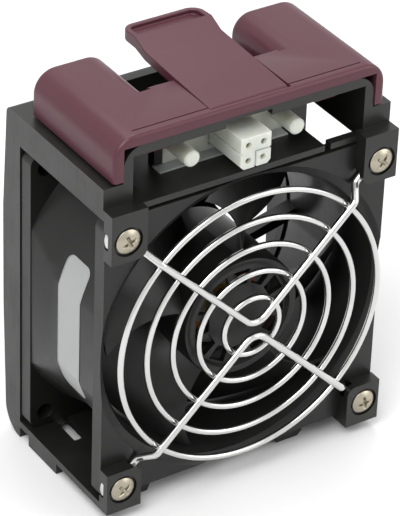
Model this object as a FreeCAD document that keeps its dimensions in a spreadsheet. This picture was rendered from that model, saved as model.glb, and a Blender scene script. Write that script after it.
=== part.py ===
"""Hot-swap server fan module: an 80 mm fan held in a moulded carrier.

The frame is +X to the right, +Y backward (the way the air goes), +Z up, in
millimetres.  Every body is drawn about the fan's axis, with Y = 0 at the face
of the carrier's corner lugs, and its Placement then lifts it onto its feet.
"""
import FreeCAD, Part
import math
import os

Vector = FreeCAD.Vector

SIZES = {
    # fan housing
    "fan_half": 40.0, "fan_front": 3.6, "fan_depth": 38.0, "flange_thk": 4.2,
    "flange_corner": 3.0, "bore_edge": 2.0, "barrel_wall": 3.2, "barrel_flare": 3.0,
    "flare_start": 22.4, "barrel_inset": 0.3, "bell_flare": 3.4, "bell_depth": 4.6,
    "rear_bell_flare": 1.4, "rear_bell_depth": 2.4, "screw_edge": 4.25,
    "flange_hole_r": 2.15, "base_r": 16.6, "base_thk": 2.2, "base_rim_thk": 1.4,
    "base_depth": 5.0, "strut_width": 2.8, "strut_depth": 4.4,
    # motor
    "shaft_r": 1.5, "shaft_tip": 6.2, "shaft_inset": 3.4, "bearing_r": 3.5,
    "bearing_bore_gap": 0.03, "bearing_thk": 3.0, "front_bearing_at": 12.4,
    "rear_bearing_inset": 8.0, "sleeve_r": 4.6, "sleeve_start": 12.0, "stator_r": 12.4,
    "stator_start": 14.0, "stator_length": 12.0, "slot_count": 6, "tooth_width": 2.6,
    "tooth_tip": 1.3, "yoke_tube_r": 7.0, "winding_bulge": 3.2, "insulator_thk": 0.6,
    "air_gap": 0.4, "yoke_thk": 0.9, "board_thk": 1.2,
    "board_r": 12.0, "clip_thk": 0.5, "clip_r": 2.7,
    # impeller
    "hub_r": 16.4, "hub_front": 4.4, "hub_length": 26.5, "hub_face_thk": 1.6,
    "hub_rim": 1.8, "hub_recess": 1.0, "hub_boss_r": 3.4, "hub_boss_length": 6.6,
    "window_in_r": 8.8, "window_out_r": 12.8, "window_count": 12, "window_rib": 1.3,
    "blade_count": 5, "tip_gap": 0.7, "blade_lead": 6.2, "blade_root_inset": 2.4,
    "blade_tip_inset": 3.9, "blade_root_wrap": 62.0, "blade_tip_wrap": 66.0,
    "blade_sweep": 20.0, "blade_thk": 1.5, "blade_phase": -115.0,
    # carrier
    "fan_side_gap": 0.3, "fan_seat_gap": 0.1, "lug_width": 9.7, "lug_reach_in": 9.8,
    "lug_rise": 1.3, "lug_corner": 2.4, "roof_gap": 0.7, "roof_thk": 1.6,
    "ledge_rise": 6.7, "side_wall": 7.9, "arch_inset": 5.3, "arch_rise": 6.5,
    "arch_bar": 2.7, "arch_front": 4.0, "arch_depth": 3.6, "arch_wall_rise": 6.0,
    "arch_corner": 5.5, "rear_gap": 0.3, "rear_panel_thk": 2.2, "rear_rim_thk": 2.0,
    "rear_bulge": 8.2, "rear_top_depth": 6.3, "rear_low_depth": 6.9, "rear_corner": 7.0,
    "rear_air_edge": 0.6, "rib_half": 30.0, "rib_height": 1.3,
    "plate_thk": 1.9, "foot_height": 3.0, "plate_notch_back": 7.0, "foot_back": 20.0,
    "left_foot_in": 23.0, "left_foot_out": 29.4, "right_foot_in": 13.2,
    "right_foot_out": 22.0, "foot_slope": 1.3, "shelf_right": 21.5, "shelf_bar_back": 6.2,
    "shelf_slit": 1.7, "shelf_open_back": 26.0, "counterbore_r": 3.9,
    "counterbore_depth": 0.9, "lug_hole_r": 2.25, "eyelet_pocket_r": 5.0,
    "side_rail_start": 24.0, "side_rail_end": 37.6, "rail_thk": 2.2,
    "slot_start": 28.0, "slot_end": 38.0, "slot_in": 2.0, "slot_width": 3.4,
    "arch_gap_left": -7.2, "arch_gap_right": 5.6,
    # handle cap and release lever
    "cap_overhang": 2.8, "cap_seat_gap": 0.7, "cap_roof": 3.0, "cap_lip": 0.4,
    "cap_back_inset": 0.9, "cap_corner": 6.0, "cap_clearance": 0.15,
    "cap_back_wall": 2.4, "bead_r": 1.1, "bead_line": 0.35, "pod_width": 19.8,
    "pod_wall": 2.2, "pod_shoulder": 5.4, "strip_back": 20.0, "lip_depth": 2.0,
    "lip_drop": 4.2, "lip_wall": 1.4, "clip_leg_in": 20.4, "clip_leg_out": 26.4, "clip_leg_thk": 1.6,
    "clip_leg_drop": 2.9, "clip_barb": 1.2, "lever_half": 10.9, "lever_gap": 0.3,
    "lever_root": 6.4, "lever_sink": 0.1, "lever_thk": 2.6, "lever_rise": 1.2,
    "lever_crest_rise": 3.1, "lever_dish_rise": 1.4, "lever_reach": 4.4,
    "paddle_length": 11.4, "crest_back": 7.0, "paddle_rim": 1.5, "paddle_corner": 3.4,
    "rim_rise": 2.5, "paddle_depth": 0.2,
    # finger guard
    "ring_wire_r": 0.8, "spoke_wire_r": 0.9, "ring_plane": 0.2, "ring_first": 7.9,
    "ring_edge": 0.9, "ring_count": 5, "eyelet_r": 3.8, "spoke_apex": 2.4,
    "spoke_bend_r": 4.0, "spoke_tail": 8.35, "spoke_step_run": 2.8,
    # screws
    "head_r": 3.25, "head_height": 1.7, "shank_r": 2.0, "shank_length": 10.4,
    "recess_width": 0.9, "recess_length": 3.6, "recess_depth": 1.0,
    # connector
    "plug_half": 4.2, "plug_rise": 1.9, "plug_front": 1.8, "plug_back": 20.0,
    "cell_pitch": 4.2, "cell_split": 0.5, "cell_split_depth": 3.0, "side_groove": 0.45,
    "cell_hole_r": 0.6, "contact_wall": 0.2, "mount_plate_at": 15.6,
    "mount_plate_thk": 1.8, "mount_plate_half": 16.9, "mount_plate_rise": 0.15,
    "mount_plate_height": 7.95, "mount_tab_half": 5.5, "mount_tab_gap": 0.3,
    "pin_offset": 14.75, "pin_rise": 6.0, "pin_r": 2.1, "pin_tip": 6.0,
    "pin_chamfer": 0.5, "web_thk": 0.4, "web_reach": 3.2, "web_left": 19.6,
    "web_right": 16.5,
    # fan label
    "label_thk": 0.12, "label_start": 14.6, "label_end": 24.6, "label_low": -18.0,
    "label_high": 19.5,
}


class Dim:
    """A length together with the spreadsheet expression that drives it."""

    def __init__(self, text, value):
        self.text = text
        self.value = float(value)

    def _join(self, other, sign, value, swap=False):
        pair = (as_text(other), self.text) if swap else (self.text, as_text(other))
        return Dim("(%s %s %s)" % (pair[0], sign, pair[1]), value)

    def __add__(self, other):
        return self._join(other, "+", self.value + as_number(other))

    def __radd__(self, other):
        return self._join(other, "+", as_number(other) + self.value, True)

    def __sub__(self, other):
        return self._join(other, "-", self.value - as_number(other))

    def __rsub__(self, other):
        return self._join(other, "-", as_number(other) - self.value, True)

    def __mul__(self, other):
        return self._join(other, "*", self.value * as_number(other))

    def __rmul__(self, other):
        return self._join(other, "*", as_number(other) * self.value, True)

    def __truediv__(self, other):
        return self._join(other, "/", self.value / as_number(other))

    def __neg__(self):
        return Dim("(-1 * %s)" % self.text, -self.value)

    def __float__(self):
        return self.value


def as_text(item):
    return item.text if isinstance(item, Dim) else repr(float(item))


def as_number(item):
    return item.value if isinstance(item, Dim) else float(item)


class SizeSheet:
    """The document's spreadsheet, read back as one Dim for each alias."""

    def __init__(self, doc, table):
        self.sheet = doc.addObject("Spreadsheet::Sheet", "Sizes")
        for row, (alias, value) in enumerate(table.items(), start=1):
            self.sheet.set("A%d" % row, alias.replace("_", " "))
            self.sheet.set("B%d" % row, repr(value))
            self.sheet.setAlias("B%d" % row, alias)
        doc.recompute()
        for alias in table:
            setattr(self, alias, Dim("Sizes." + alias, getattr(self.sheet, alias)))


doc = FreeCAD.newDocument("server_fan_module")
s = SizeSheet(doc, SIZES)

FAN_BACK = s.fan_front + s.fan_depth


def follow_fan(s, fan_back):
    """Lengths that follow from the fan's size, so that what seats on it moves too."""
    s.bore_r = s.fan_half - s.bore_edge
    s.barrel_r = s.bore_r + s.barrel_wall
    s.bell_r = s.bore_r + s.bell_flare
    s.rear_bell_r = s.bore_r + s.rear_bell_flare
    s.screw_half = s.fan_half - s.screw_edge
    s.shaft_end = fan_back - s.shaft_inset
    s.rear_bearing_at = fan_back - s.rear_bearing_inset
    s.ring_pitch = (s.bore_r - s.ring_edge - s.ring_first) / (s.ring_count - 1.0)
    s.spoke_step_at = s.screw_half - s.spoke_tail
    s.carrier_half = s.fan_half + s.fan_side_gap
    s.plate_top = -1.0 * (s.fan_half + s.fan_seat_gap)
    s.plate_bottom = s.plate_top - s.plate_thk
    s.foot_bottom = s.plate_bottom - s.foot_height
    s.roof_bottom = s.fan_half + s.roof_gap
    s.roof_top = s.roof_bottom + s.roof_thk
    s.ledge_top = s.roof_top + s.ledge_rise
    s.wall_inner = s.carrier_half - s.side_wall
    s.lug_inner = s.carrier_half - s.lug_width
    s.lug_reach = s.fan_half - s.lug_reach_in
    s.lug_top = s.roof_top + s.lug_rise
    s.rear_start = fan_back + s.rear_gap
    s.rear_mid = s.rear_start + s.rear_bulge
    s.rear_top = s.rear_start + s.rear_top_depth
    s.rear_low = s.rear_start + s.rear_low_depth
    s.rear_air_r = s.bore_r + s.rear_air_edge


def follow_carrier(s):
    """Lengths of the cap, lever and connector that follow from the carrier's."""
    s.arch_half = s.carrier_half - s.arch_inset
    s.arch_inner_top = s.ledge_top + s.arch_rise
    s.arch_top = s.arch_inner_top + s.arch_bar
    s.arch_wall_top = s.ledge_top + s.arch_wall_rise
    s.cap_half = s.arch_half + s.cap_overhang
    s.cap_bottom = s.ledge_top + s.cap_seat_gap
    s.cap_top = s.arch_top + s.cap_roof
    s.cap_front = s.arch_front - s.cap_lip
    s.cap_back = s.rear_start - s.cap_back_inset
    s.pod_inner = s.cap_half - s.pod_width
    s.clip_leg_low = s.arch_inner_top - s.clip_leg_drop
    s.lever_root_top = s.cap_top - s.lever_sink
    s.lever_bend_top = s.lever_root_top + s.lever_rise
    s.lever_crest_top = s.lever_root_top + s.lever_crest_rise
    s.lever_dish_top = s.lever_root_top + s.lever_dish_rise
    s.lever_rim_top = s.lever_root_top + s.rim_rise
    s.lever_end_low = s.lever_root_top - s.paddle_depth
    s.lever_end = s.cap_back + s.lever_reach
    s.lever_bend = s.lever_end - s.paddle_length
    s.lever_crest = s.lever_end - s.crest_back
    s.plug_low = s.roof_top + s.plug_rise
    s.mount_plate_low = s.roof_top + s.mount_plate_rise
    s.mount_plate_top = s.mount_plate_low + s.mount_plate_height
    s.mount_tab_top = s.arch_inner_top - s.mount_tab_gap
    s.pin_height = s.roof_top + s.pin_rise


follow_fan(s, FAN_BACK)
follow_carrier(s)
AXIS_HEIGHT = -s.foot_bottom
GUARD_FRONT = s.ring_plane - s.ring_wire_r - 2.0 * s.spoke_wire_r
DEPTH_SHIFT = -(s.rear_mid + GUARD_FRONT) / 2.0
HUB_BACK = s.hub_front + s.hub_length
ROOT_TRAIL = HUB_BACK - s.blade_root_inset
TIP_TRAIL = HUB_BACK - s.blade_tip_inset
YOKE_R = s.hub_r - s.hub_rim
MAGNET_R = YOKE_R - s.yoke_thk
LEVER_AXIS_Z = s.lever_root_top - s.lever_thk / 2.0
ARCH_WALL_BACK = s.cap_back - s.cap_back_wall - s.cap_clearance
PLUG_HIGH = s.plug_low + 2.0 * s.cell_pitch

NODES = []


# ---------------------------------------------------------------- helpers

def node(obj, name):
    """Name a finished sub-part and stand it in the module's own frame."""
    obj.Label = name
    obj.setExpression("Placement.Base.y", as_text(DEPTH_SHIFT))
    obj.setExpression("Placement.Base.z", as_text(AXIS_HEIGHT))
    NODES.append(obj)
    return obj


def new_body(name):
    body = doc.addObject("PartDesign::Body", name)
    body.AllowCompound = True
    return body


def origin_plane(body, role):
    for item in body.Origin.OriginFeatures:
        if item.Role == role:
            return item
    raise ValueError("no plane " + role)


def add_circle(sketch, name, cx, cy, radius):
    """Draw a circle whose centre and radius follow the sheet."""
    index = sketch.addGeometry(Part.Circle(Vector(float(cx), float(cy), 0), Vector(0, 0, 1),
                                           float(radius)), False)
    links = (("DistanceX", (index, 3), cx), ("DistanceY", (index, 3), cy))
    for kind, where, size in links:
        bind(sketch, kind, where, size, "%s_%s" % (name, kind))
    bind(sketch, "Radius", (index,), radius, name + "_radius")


def bind(sketch, kind, where, size, name):
    """Add one named constraint and tie it to its expression."""
    import Sketcher
    number = as_number(size)
    index = sketch.addConstraint(Sketcher.Constraint(kind, *where, number))
    sketch.renameConstraint(index, name)
    if isinstance(size, Dim):
        sketch.setExpression("Constraints." + name, size.text)


def add_polygon(sketch, name, points):
    """Draw a closed polygon whose corners follow the sheet."""
    import Sketcher
    count = len(points)
    spots = [Vector(float(x), float(y), 0) for x, y in points]
    lines = [sketch.addGeometry(Part.LineSegment(spots[i], spots[(i + 1) % count]), False)
             for i in range(count)]
    for i, line in enumerate(lines):
        sketch.addConstraint(Sketcher.Constraint("Coincident", line, 2, lines[(i + 1) % count], 1))
    for i, (x, y) in enumerate(points):
        bind(sketch, "DistanceX", (lines[i], 1), x, "%s_x%d" % (name, i))
        bind(sketch, "DistanceY", (lines[i], 1), y, "%s_y%d" % (name, i))


def draw(body, name, role, offset, loops):
    """Make a sketch on a plane parallel to one of the body's own planes."""
    sketch = body.newObject("Sketcher::SketchObject", name + "_sketch")
    sketch.AttachmentSupport = [(origin_plane(body, role), "")]
    sketch.MapMode = "FlatFace"
    sketch.AttachmentOffset = FreeCAD.Placement(Vector(0, 0, float(offset)), FreeCAD.Rotation())
    if isinstance(offset, Dim):
        sketch.setExpression("AttachmentOffset.Base.z", offset.text)
    for i, loop in enumerate(loops):
        label = "loop%d" % i
        if len(loop) == 3 and not isinstance(loop[0], tuple):
            add_circle(sketch, label, *loop)
        else:
            add_polygon(sketch, label, loop)
    return sketch


def solid_volume(body):
    doc.recompute()
    return body.Shape.Volume if not body.Shape.isNull() else 0.0


def grow(body, name, role, low, high, loops):
    """Pad loops from low to high along the plane's own axis."""
    offset = -high if role == "XZ_Plane" else low
    sketch = draw(body, name, role, offset, loops)
    pad = body.newObject("PartDesign::Pad", name)
    pad.Profile = sketch
    length = high - low
    pad.Length = float(length)
    if isinstance(length, Dim):
        pad.setExpression("Length", length.text)
    sketch.Visibility = False
    return pad


def cut(body, name, role, low, high, loops):
    """Pocket loops from low to high along the plane's own axis."""
    before = solid_volume(body)
    offset = -low if role == "XZ_Plane" else high
    sketch = draw(body, name, role, offset, loops)
    pocket = body.newObject("PartDesign::Pocket", name)
    pocket.Profile = sketch
    length = high - low
    pocket.Length = float(length)
    if isinstance(length, Dim):
        pocket.setExpression("Length", length.text)
    if not solid_volume(body) < before:
        raise RuntimeError(name + " cuts nothing")
    return pocket


def turn(body, name, kind, loop, role="YZ_Plane"):
    """Revolve a half section about the body's Y axis."""
    sketch = draw(body, name, role, 0.0, [loop])
    feature = body.newObject(kind, name)
    feature.Profile = sketch
    feature.ReferenceAxis = (sketch, ["H_Axis"])
    feature.Angle = 360.0
    return feature


def edges_where(shape, test, along):
    """Names of the edges that run along an axis and whose ends all pass a test."""
    names = []
    for i, edge in enumerate(shape.Edges, start=1):
        ends = [vertex.Point for vertex in edge.Vertexes]
        if not ends or not all(test(point) for point in ends):
            continue
        run = ends[-1] - ends[0]
        across = {"x": (run.y, run.z), "y": (run.x, run.z), "z": (run.x, run.y)}.get(along)
        if across is None or (max(abs(step) for step in across) < 1e-6 and run.Length > 1e-6):
            names.append("Edge%d" % i)
    return names


def soften(body, name, radius, test, along=None, kind="PartDesign::Fillet"):
    """Fillet or chamfer the edges along an axis whose ends pass a test."""
    doc.recompute()
    base = body.Tip
    names = edges_where(base.Shape, test, along)
    if not names:
        raise RuntimeError(name + " finds no edge")
    feature = body.newObject(kind, name)
    feature.Base = (base, names)
    key = "Radius" if kind.endswith("Fillet") else "Size"
    setattr(feature, key, float(radius))
    if isinstance(radius, Dim):
        feature.setExpression(key, radius.text)
    return feature


def around(body, name, feature, count):
    """Repeat a feature round the body's Y axis."""
    pattern = body.newObject("PartDesign::PolarPattern", name)
    pattern.Originals = [feature]
    pattern.Axis = (origin_axis(body, "Y_Axis"), [""])
    pattern.Angle = 360.0
    pattern.Occurrences = int(round(float(count)))
    if isinstance(count, Dim):
        pattern.setExpression("Occurrences", count.text)
    body.Tip = pattern
    return pattern


def origin_axis(body, role):
    return origin_plane(body, role)


def box(x0, x1, z0, z1):
    """Corner list of an upright rectangle."""
    return [(x0, z0), (x1, z0), (x1, z1), (x0, z1)]


def near(value, size, slack=0.02):
    return abs(value - float(size)) < slack


def shape_node(name, shape):
    """A sub-part whose surface is made directly with Part's functions."""
    feature = doc.addObject("Part::Feature", name)
    feature.Shape = shape
    return node(feature, name)


def tube(name, outer, inner, start, end):
    """A plain ring or sleeve on the fan's axis."""
    body = new_body(name)
    grow(body, name + "_ring", "XZ_Plane", start, end, [(0.0, 0.0, outer), (0.0, 0.0, inner)])
    return node(body, name)


# ------------------------------------------------------------ fan housing

def make_fan_housing():
    """Square fan frame with its barrel, bell mouth, rear struts and motor base."""
    body = new_body("fan_housing")
    wide = s.barrel_r + 2.0 * s.barrel_flare
    flat = s.fan_half - s.barrel_inset
    waist = FAN_BACK - s.flange_thk
    flared = s.barrel_r + s.barrel_flare
    turn(body, "barrel", "PartDesign::Revolution", [
        (s.fan_front, 0.0), (s.fan_front, s.barrel_r), (s.fan_front + s.flare_start, s.barrel_r),
        (waist, flared), (FAN_BACK, flared), (FAN_BACK, 0.0)])
    cut(body, "barrel_flats", "XZ_Plane", s.fan_front, FAN_BACK,
        [box(-wide, wide, -wide, wide), box(-flat, flat, -flat, flat)])
    square = box(-s.fan_half, s.fan_half, -s.fan_half, s.fan_half)
    grow(body, "front_flange", "XZ_Plane", s.fan_front, s.fan_front + s.flange_thk, [square])
    grow(body, "rear_flange", "XZ_Plane", FAN_BACK - s.flange_thk, FAN_BACK, [square])
    soften(body, "flange_corners", s.flange_corner,
           lambda p: near(abs(p.x), s.fan_half) and near(abs(p.z), s.fan_half), "y")
    turn(body, "bore", "PartDesign::Groove", [
        (s.fan_front - 1.0, 0.0), (s.fan_front - 1.0, s.bell_r), (s.fan_front, s.bell_r),
        (s.fan_front + s.bell_depth / 3.0, (s.bell_r + 2.0 * s.bore_r) / 3.0),
        (s.fan_front + s.bell_depth, s.bore_r), (FAN_BACK - s.rear_bell_depth, s.bore_r),
        (FAN_BACK, s.rear_bell_r), (FAN_BACK + 1.0, s.rear_bell_r), (FAN_BACK + 1.0, 0.0)])
    half = s.strut_width / 2.0
    lean = s.base_r * 0.6
    strut = grow(body, "strut", "XZ_Plane", FAN_BACK - s.strut_depth, FAN_BACK, [[
        (lean - half, -half), (lean + half, -half),
        (half, s.bore_r + 1.0), (-half, s.bore_r + 1.0)]])
    around(body, "struts", strut, 4)
    grow(body, "motor_base", "XZ_Plane", FAN_BACK - s.base_thk, FAN_BACK, [(0.0, 0.0, s.base_r)])
    grow(body, "base_rim", "XZ_Plane", FAN_BACK - s.base_depth, FAN_BACK - s.base_thk,
         [(0.0, 0.0, s.base_r), (0.0, 0.0, s.base_r - s.base_rim_thk)])
    cut(body, "sleeve_seat", "XZ_Plane", FAN_BACK - s.strut_depth, FAN_BACK,
        [(0.0, 0.0, s.sleeve_r)])
    cut(body, "base_hollow", "XZ_Plane", FAN_BACK - s.base_depth, FAN_BACK - s.base_thk,
        [(0.0, 0.0, s.base_r - s.base_rim_thk)])
    corners = [(sx * s.screw_half, sz * s.screw_half, s.flange_hole_r)
               for sx in (-1.0, 1.0) for sz in (-1.0, 1.0)]
    cut(body, "screw_holes", "XZ_Plane", s.fan_front, FAN_BACK, corners)
    return node(body, "fan_housing")


# ------------------------------------------------------------------ motor

def make_shaft():
    body = new_body("rotor_shaft")
    grow(body, "rod", "XZ_Plane", s.shaft_tip, s.shaft_end, [(0.0, 0.0, s.shaft_r)])
    soften(body, "rod_ends", s.shaft_r * 0.2,
           lambda p: near(p.y, s.shaft_tip) or near(p.y, s.shaft_end), None,
           "PartDesign::Chamfer")
    return node(body, "rotor_shaft")


def make_bearing(name, start):
    """A small ball bearing: two races with the closed shield set back between."""
    body = new_body(name)
    bore = s.shaft_r + s.bearing_bore_gap
    grow(body, name + "_race", "XZ_Plane", start, start + s.bearing_thk,
         [(0.0, 0.0, s.bearing_r), (0.0, 0.0, bore)])
    lip = (s.bearing_r - bore) / 3.0
    cut(body, name + "_shield", "XZ_Plane", start, start + 0.2,
        [(0.0, 0.0, s.bearing_r - lip), (0.0, 0.0, bore + lip)])
    return node(body, name)


def make_sleeve():
    """Brass tube that carries the two bearings and the stator."""
    body = new_body("bearing_sleeve")
    grow(body, "sleeve", "XZ_Plane", s.sleeve_start, FAN_BACK, [(0.0, 0.0, s.sleeve_r)])
    front_seat = s.front_bearing_at + s.bearing_thk
    cut(body, "front_seat", "XZ_Plane", s.sleeve_start, front_seat, [(0.0, 0.0, s.bearing_r)])
    cut(body, "rear_seat", "XZ_Plane", s.rear_bearing_at, FAN_BACK, [(0.0, 0.0, s.bearing_r)])
    cut(body, "through", "XZ_Plane", front_seat, s.rear_bearing_at,
        [(0.0, 0.0, s.shaft_r + 1.0)])
    return node(body, "bearing_sleeve")


def tooth_outline(scale=0.0):
    """Corners of one stator tooth that points along +Z, grown by a thickness."""
    half = s.tooth_width / 2.0 + scale
    return [(-half, 0.0), (half, 0.0), (half, s.stator_r), (-half, s.stator_r)]


def make_stator_core():
    """Laminated stack: a ring on the sleeve with radial teeth and pole shoes."""
    body = new_body("stator_core")
    start = s.stator_start
    end = start + s.stator_length
    grow(body, "hub_ring", "XZ_Plane", start, end, [(0.0, 0.0, s.yoke_tube_r)])
    tooth = grow(body, "tooth", "XZ_Plane", start, end, [tooth_outline()])
    around(body, "teeth", tooth, s.slot_count)
    shoe = grow(body, "shoe", "XZ_Plane", start, end, [box(
        -s.tooth_width * 1.7, s.tooth_width * 1.7, s.stator_r - s.tooth_tip * 2.0,
        s.stator_r + 1.0)])
    around(body, "shoes", shoe, s.slot_count)
    cut(body, "round_off", "XZ_Plane", start, end,
        [(0.0, 0.0, s.stator_r + 8.0), (0.0, 0.0, s.stator_r)])
    cut(body, "core_bore", "XZ_Plane", start, end, [(0.0, 0.0, s.sleeve_r)])
    return node(body, "stator_core")


def winding_block(grow_by):
    """Outer size of one coil on its tooth: width, inner and outer radius."""
    half = s.tooth_width / 2.0 + s.insulator_thk + grow_by
    return half, s.yoke_tube_r + s.insulator_thk, s.stator_r - 2.0 * s.tooth_tip - s.insulator_thk


def make_windings():
    """One copper coil round each tooth, bulging past the stack at both ends."""
    body = new_body("stator_windings")
    half, low, high = winding_block(1.25)
    start = s.stator_start - s.winding_bulge
    end = s.stator_start + s.stator_length + s.winding_bulge
    coil = grow(body, "coil", "XZ_Plane", start, end, [box(-half, half, low, high)])
    around(body, "coils", coil, s.slot_count)
    inner = s.tooth_width / 2.0 + s.insulator_thk
    hole = cut(body, "coil_hole", "XZ_Plane", s.stator_start - s.insulator_thk,
               s.stator_start + s.stator_length + s.insulator_thk,
               [box(-inner, inner, low - 1.0, high + 1.0)])
    around(body, "coil_holes", hole, s.slot_count)
    return node(body, "stator_windings")


def make_insulator():
    """Moulded end caps that keep the coils off the steel stack."""
    body = new_body("stator_insulator")
    half, low, high = winding_block(0.0)
    thk = s.insulator_thk
    for name, near_y, far_y in (
            ("front", s.stator_start - thk, s.stator_start),
            ("rear", s.stator_start + s.stator_length, s.stator_start + s.stator_length + thk)):
        grow(body, name + "_ring", "XZ_Plane", near_y, far_y,
             [(0.0, 0.0, s.yoke_tube_r), (0.0, 0.0, s.sleeve_r)])
        arm = grow(body, name + "_arm", "XZ_Plane", near_y, far_y,
                   [box(-half, half, s.yoke_tube_r - 0.5, s.stator_r - s.tooth_tip)])
        around(body, name + "_arms", arm, s.slot_count)
    return node(body, "stator_insulator")


def make_motor():
    make_shaft()
    make_bearing("front_bearing", s.front_bearing_at)
    make_bearing("rear_bearing", s.rear_bearing_at)
    make_sleeve()
    make_stator_core()
    make_windings()
    make_insulator()
    tube("rotor_yoke", YOKE_R, MAGNET_R, s.hub_front + s.hub_face_thk + s.hub_recess,
         HUB_BACK - 1.0)
    magnet_in = s.stator_r + s.air_gap
    tube("rotor_magnet", MAGNET_R, magnet_in, s.stator_start - 1.5,
         s.stator_start + s.stator_length + 1.5)
    board_at = FAN_BACK - s.base_thk - s.board_thk
    tube("motor_circuit_board", s.board_r, s.sleeve_r, board_at, board_at + s.board_thk)
    clip_at = s.rear_bearing_at + s.bearing_thk
    tube("shaft_clip", s.clip_r, s.shaft_r, clip_at + 0.2, clip_at + 0.2 + s.clip_thk)


# --------------------------------------------------------------- impeller

def blade_section(radius, lead, trail, wrap, lag, thickness):
    """Closed airfoil wire wrapped on a cylinder, thick behind its leading edge."""
    upper = []
    lower = []
    steps = 8
    for i in range(steps + 1):
        t = i / steps
        bow = math.sin(math.pi * t) * 0.06 * wrap
        angle = math.radians(lag - wrap * t + bow)
        y = lead + (trail - lead) * (t + 0.05 * math.sin(math.pi * t))
        body = thickness * (0.28 + 0.72 * math.sin(math.pi * min(1.0, t ** 0.6)))
        slope = math.atan2((trail - lead), math.radians(wrap) * radius)
        side = body / 2.0
        dy = side * math.cos(slope)
        da = side * math.sin(slope) / radius
        upper.append((angle + da, y + dy))
        lower.append((angle - da, y - dy))
    ring = []
    for angle, y in upper + list(reversed(lower)):
        ring.append(Vector(radius * math.cos(angle), y, radius * math.sin(angle)))
    back = Part.BSplineCurve()
    back.interpolate(ring[:steps + 1])
    front = Part.BSplineCurve()
    front.interpolate(ring[steps + 1:])
    return Part.Wire([back.toShape(), Part.makeLine(ring[steps], ring[steps + 1]),
                      front.toShape(), Part.makeLine(ring[-1], ring[0])])


def make_blade():
    """One swept blade, lofted from inside the hub wall to past the tip circle."""
    tip_r = float(s.bore_r - s.tip_gap)
    root_r = float(s.hub_r) - 0.5 * float(s.hub_rim)
    sections = []
    for i in range(5):
        t = i / 4.0
        radius = root_r + (tip_r + 1.0 - root_r) * t
        trail = float(ROOT_TRAIL) + (float(TIP_TRAIL) - float(ROOT_TRAIL)) * t
        wrap = float(s.blade_root_wrap) + (float(s.blade_tip_wrap)
                                           - float(s.blade_root_wrap)) * t
        sections.append(blade_section(radius, float(s.blade_lead), trail, wrap,
                                      float(s.blade_sweep) * t * t, float(s.blade_thk)))
    blade = Part.makeLoft(sections, True)
    length = float(s.fan_depth)
    shell = Part.makeCylinder(tip_r, length, Vector(0, 0, 0), Vector(0, 1, 0))
    return blade.common(shell)


def make_impeller():
    """Hub cup with a vented face, and its ring of swept blades."""
    cup = new_body("impeller_hub")
    front = s.hub_front
    back = front + s.hub_length
    wall = s.hub_rim
    face = front + s.hub_recess
    turn(cup, "cup", "PartDesign::Revolution", [
        (face, 0.0), (face, s.window_out_r + 0.6), (front, s.window_out_r + 1.2),
        (front, s.hub_r - 1.2), (front + 0.4, s.hub_r - 0.4), (front + 1.4, s.hub_r),
        (back, s.hub_r), (back, s.hub_r - wall),
        (face + s.hub_face_thk, s.hub_r - wall), (face + s.hub_face_thk, s.hub_boss_r),
        (front + s.hub_boss_length, s.hub_boss_r), (front + s.hub_boss_length, 0.0)])
    cut(cup, "shaft_bore", "XZ_Plane", s.shaft_tip, back, [(0.0, 0.0, s.shaft_r)])
    mid = (s.window_in_r + s.window_out_r) / 2.0
    half = math.pi * mid / s.window_count - s.window_rib / 2.0
    window = cut(cup, "window", "XZ_Plane", front - 1.0, face + s.hub_face_thk, [[
        (-half * 0.8, s.window_in_r), (half * 0.8, s.window_in_r),
        (half * 1.15, s.window_out_r), (-half * 1.15, s.window_out_r)]])
    around(cup, "windows", window, s.window_count)
    doc.recompute()
    blade = make_blade()
    blades = []
    count = int(round(float(s.blade_count)))
    for i in range(count):
        copy = blade.copy()
        turned = float(s.blade_phase) + 360.0 * i / count
        copy.rotate(Vector(0, 0, 0), Vector(0, -1, 0), turned)
        blades.append(copy)
    inner = Part.makeCylinder(float(YOKE_R), float(s.fan_depth) * 2.0, Vector(0, -5, 0),
                              Vector(0, 1, 0))
    shape = cup.Shape.fuse([blade.cut(inner) for blade in blades]).removeSplitter()
    return shape_node("impeller", shape)


# ---------------------------------------------------------------- carrier

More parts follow.
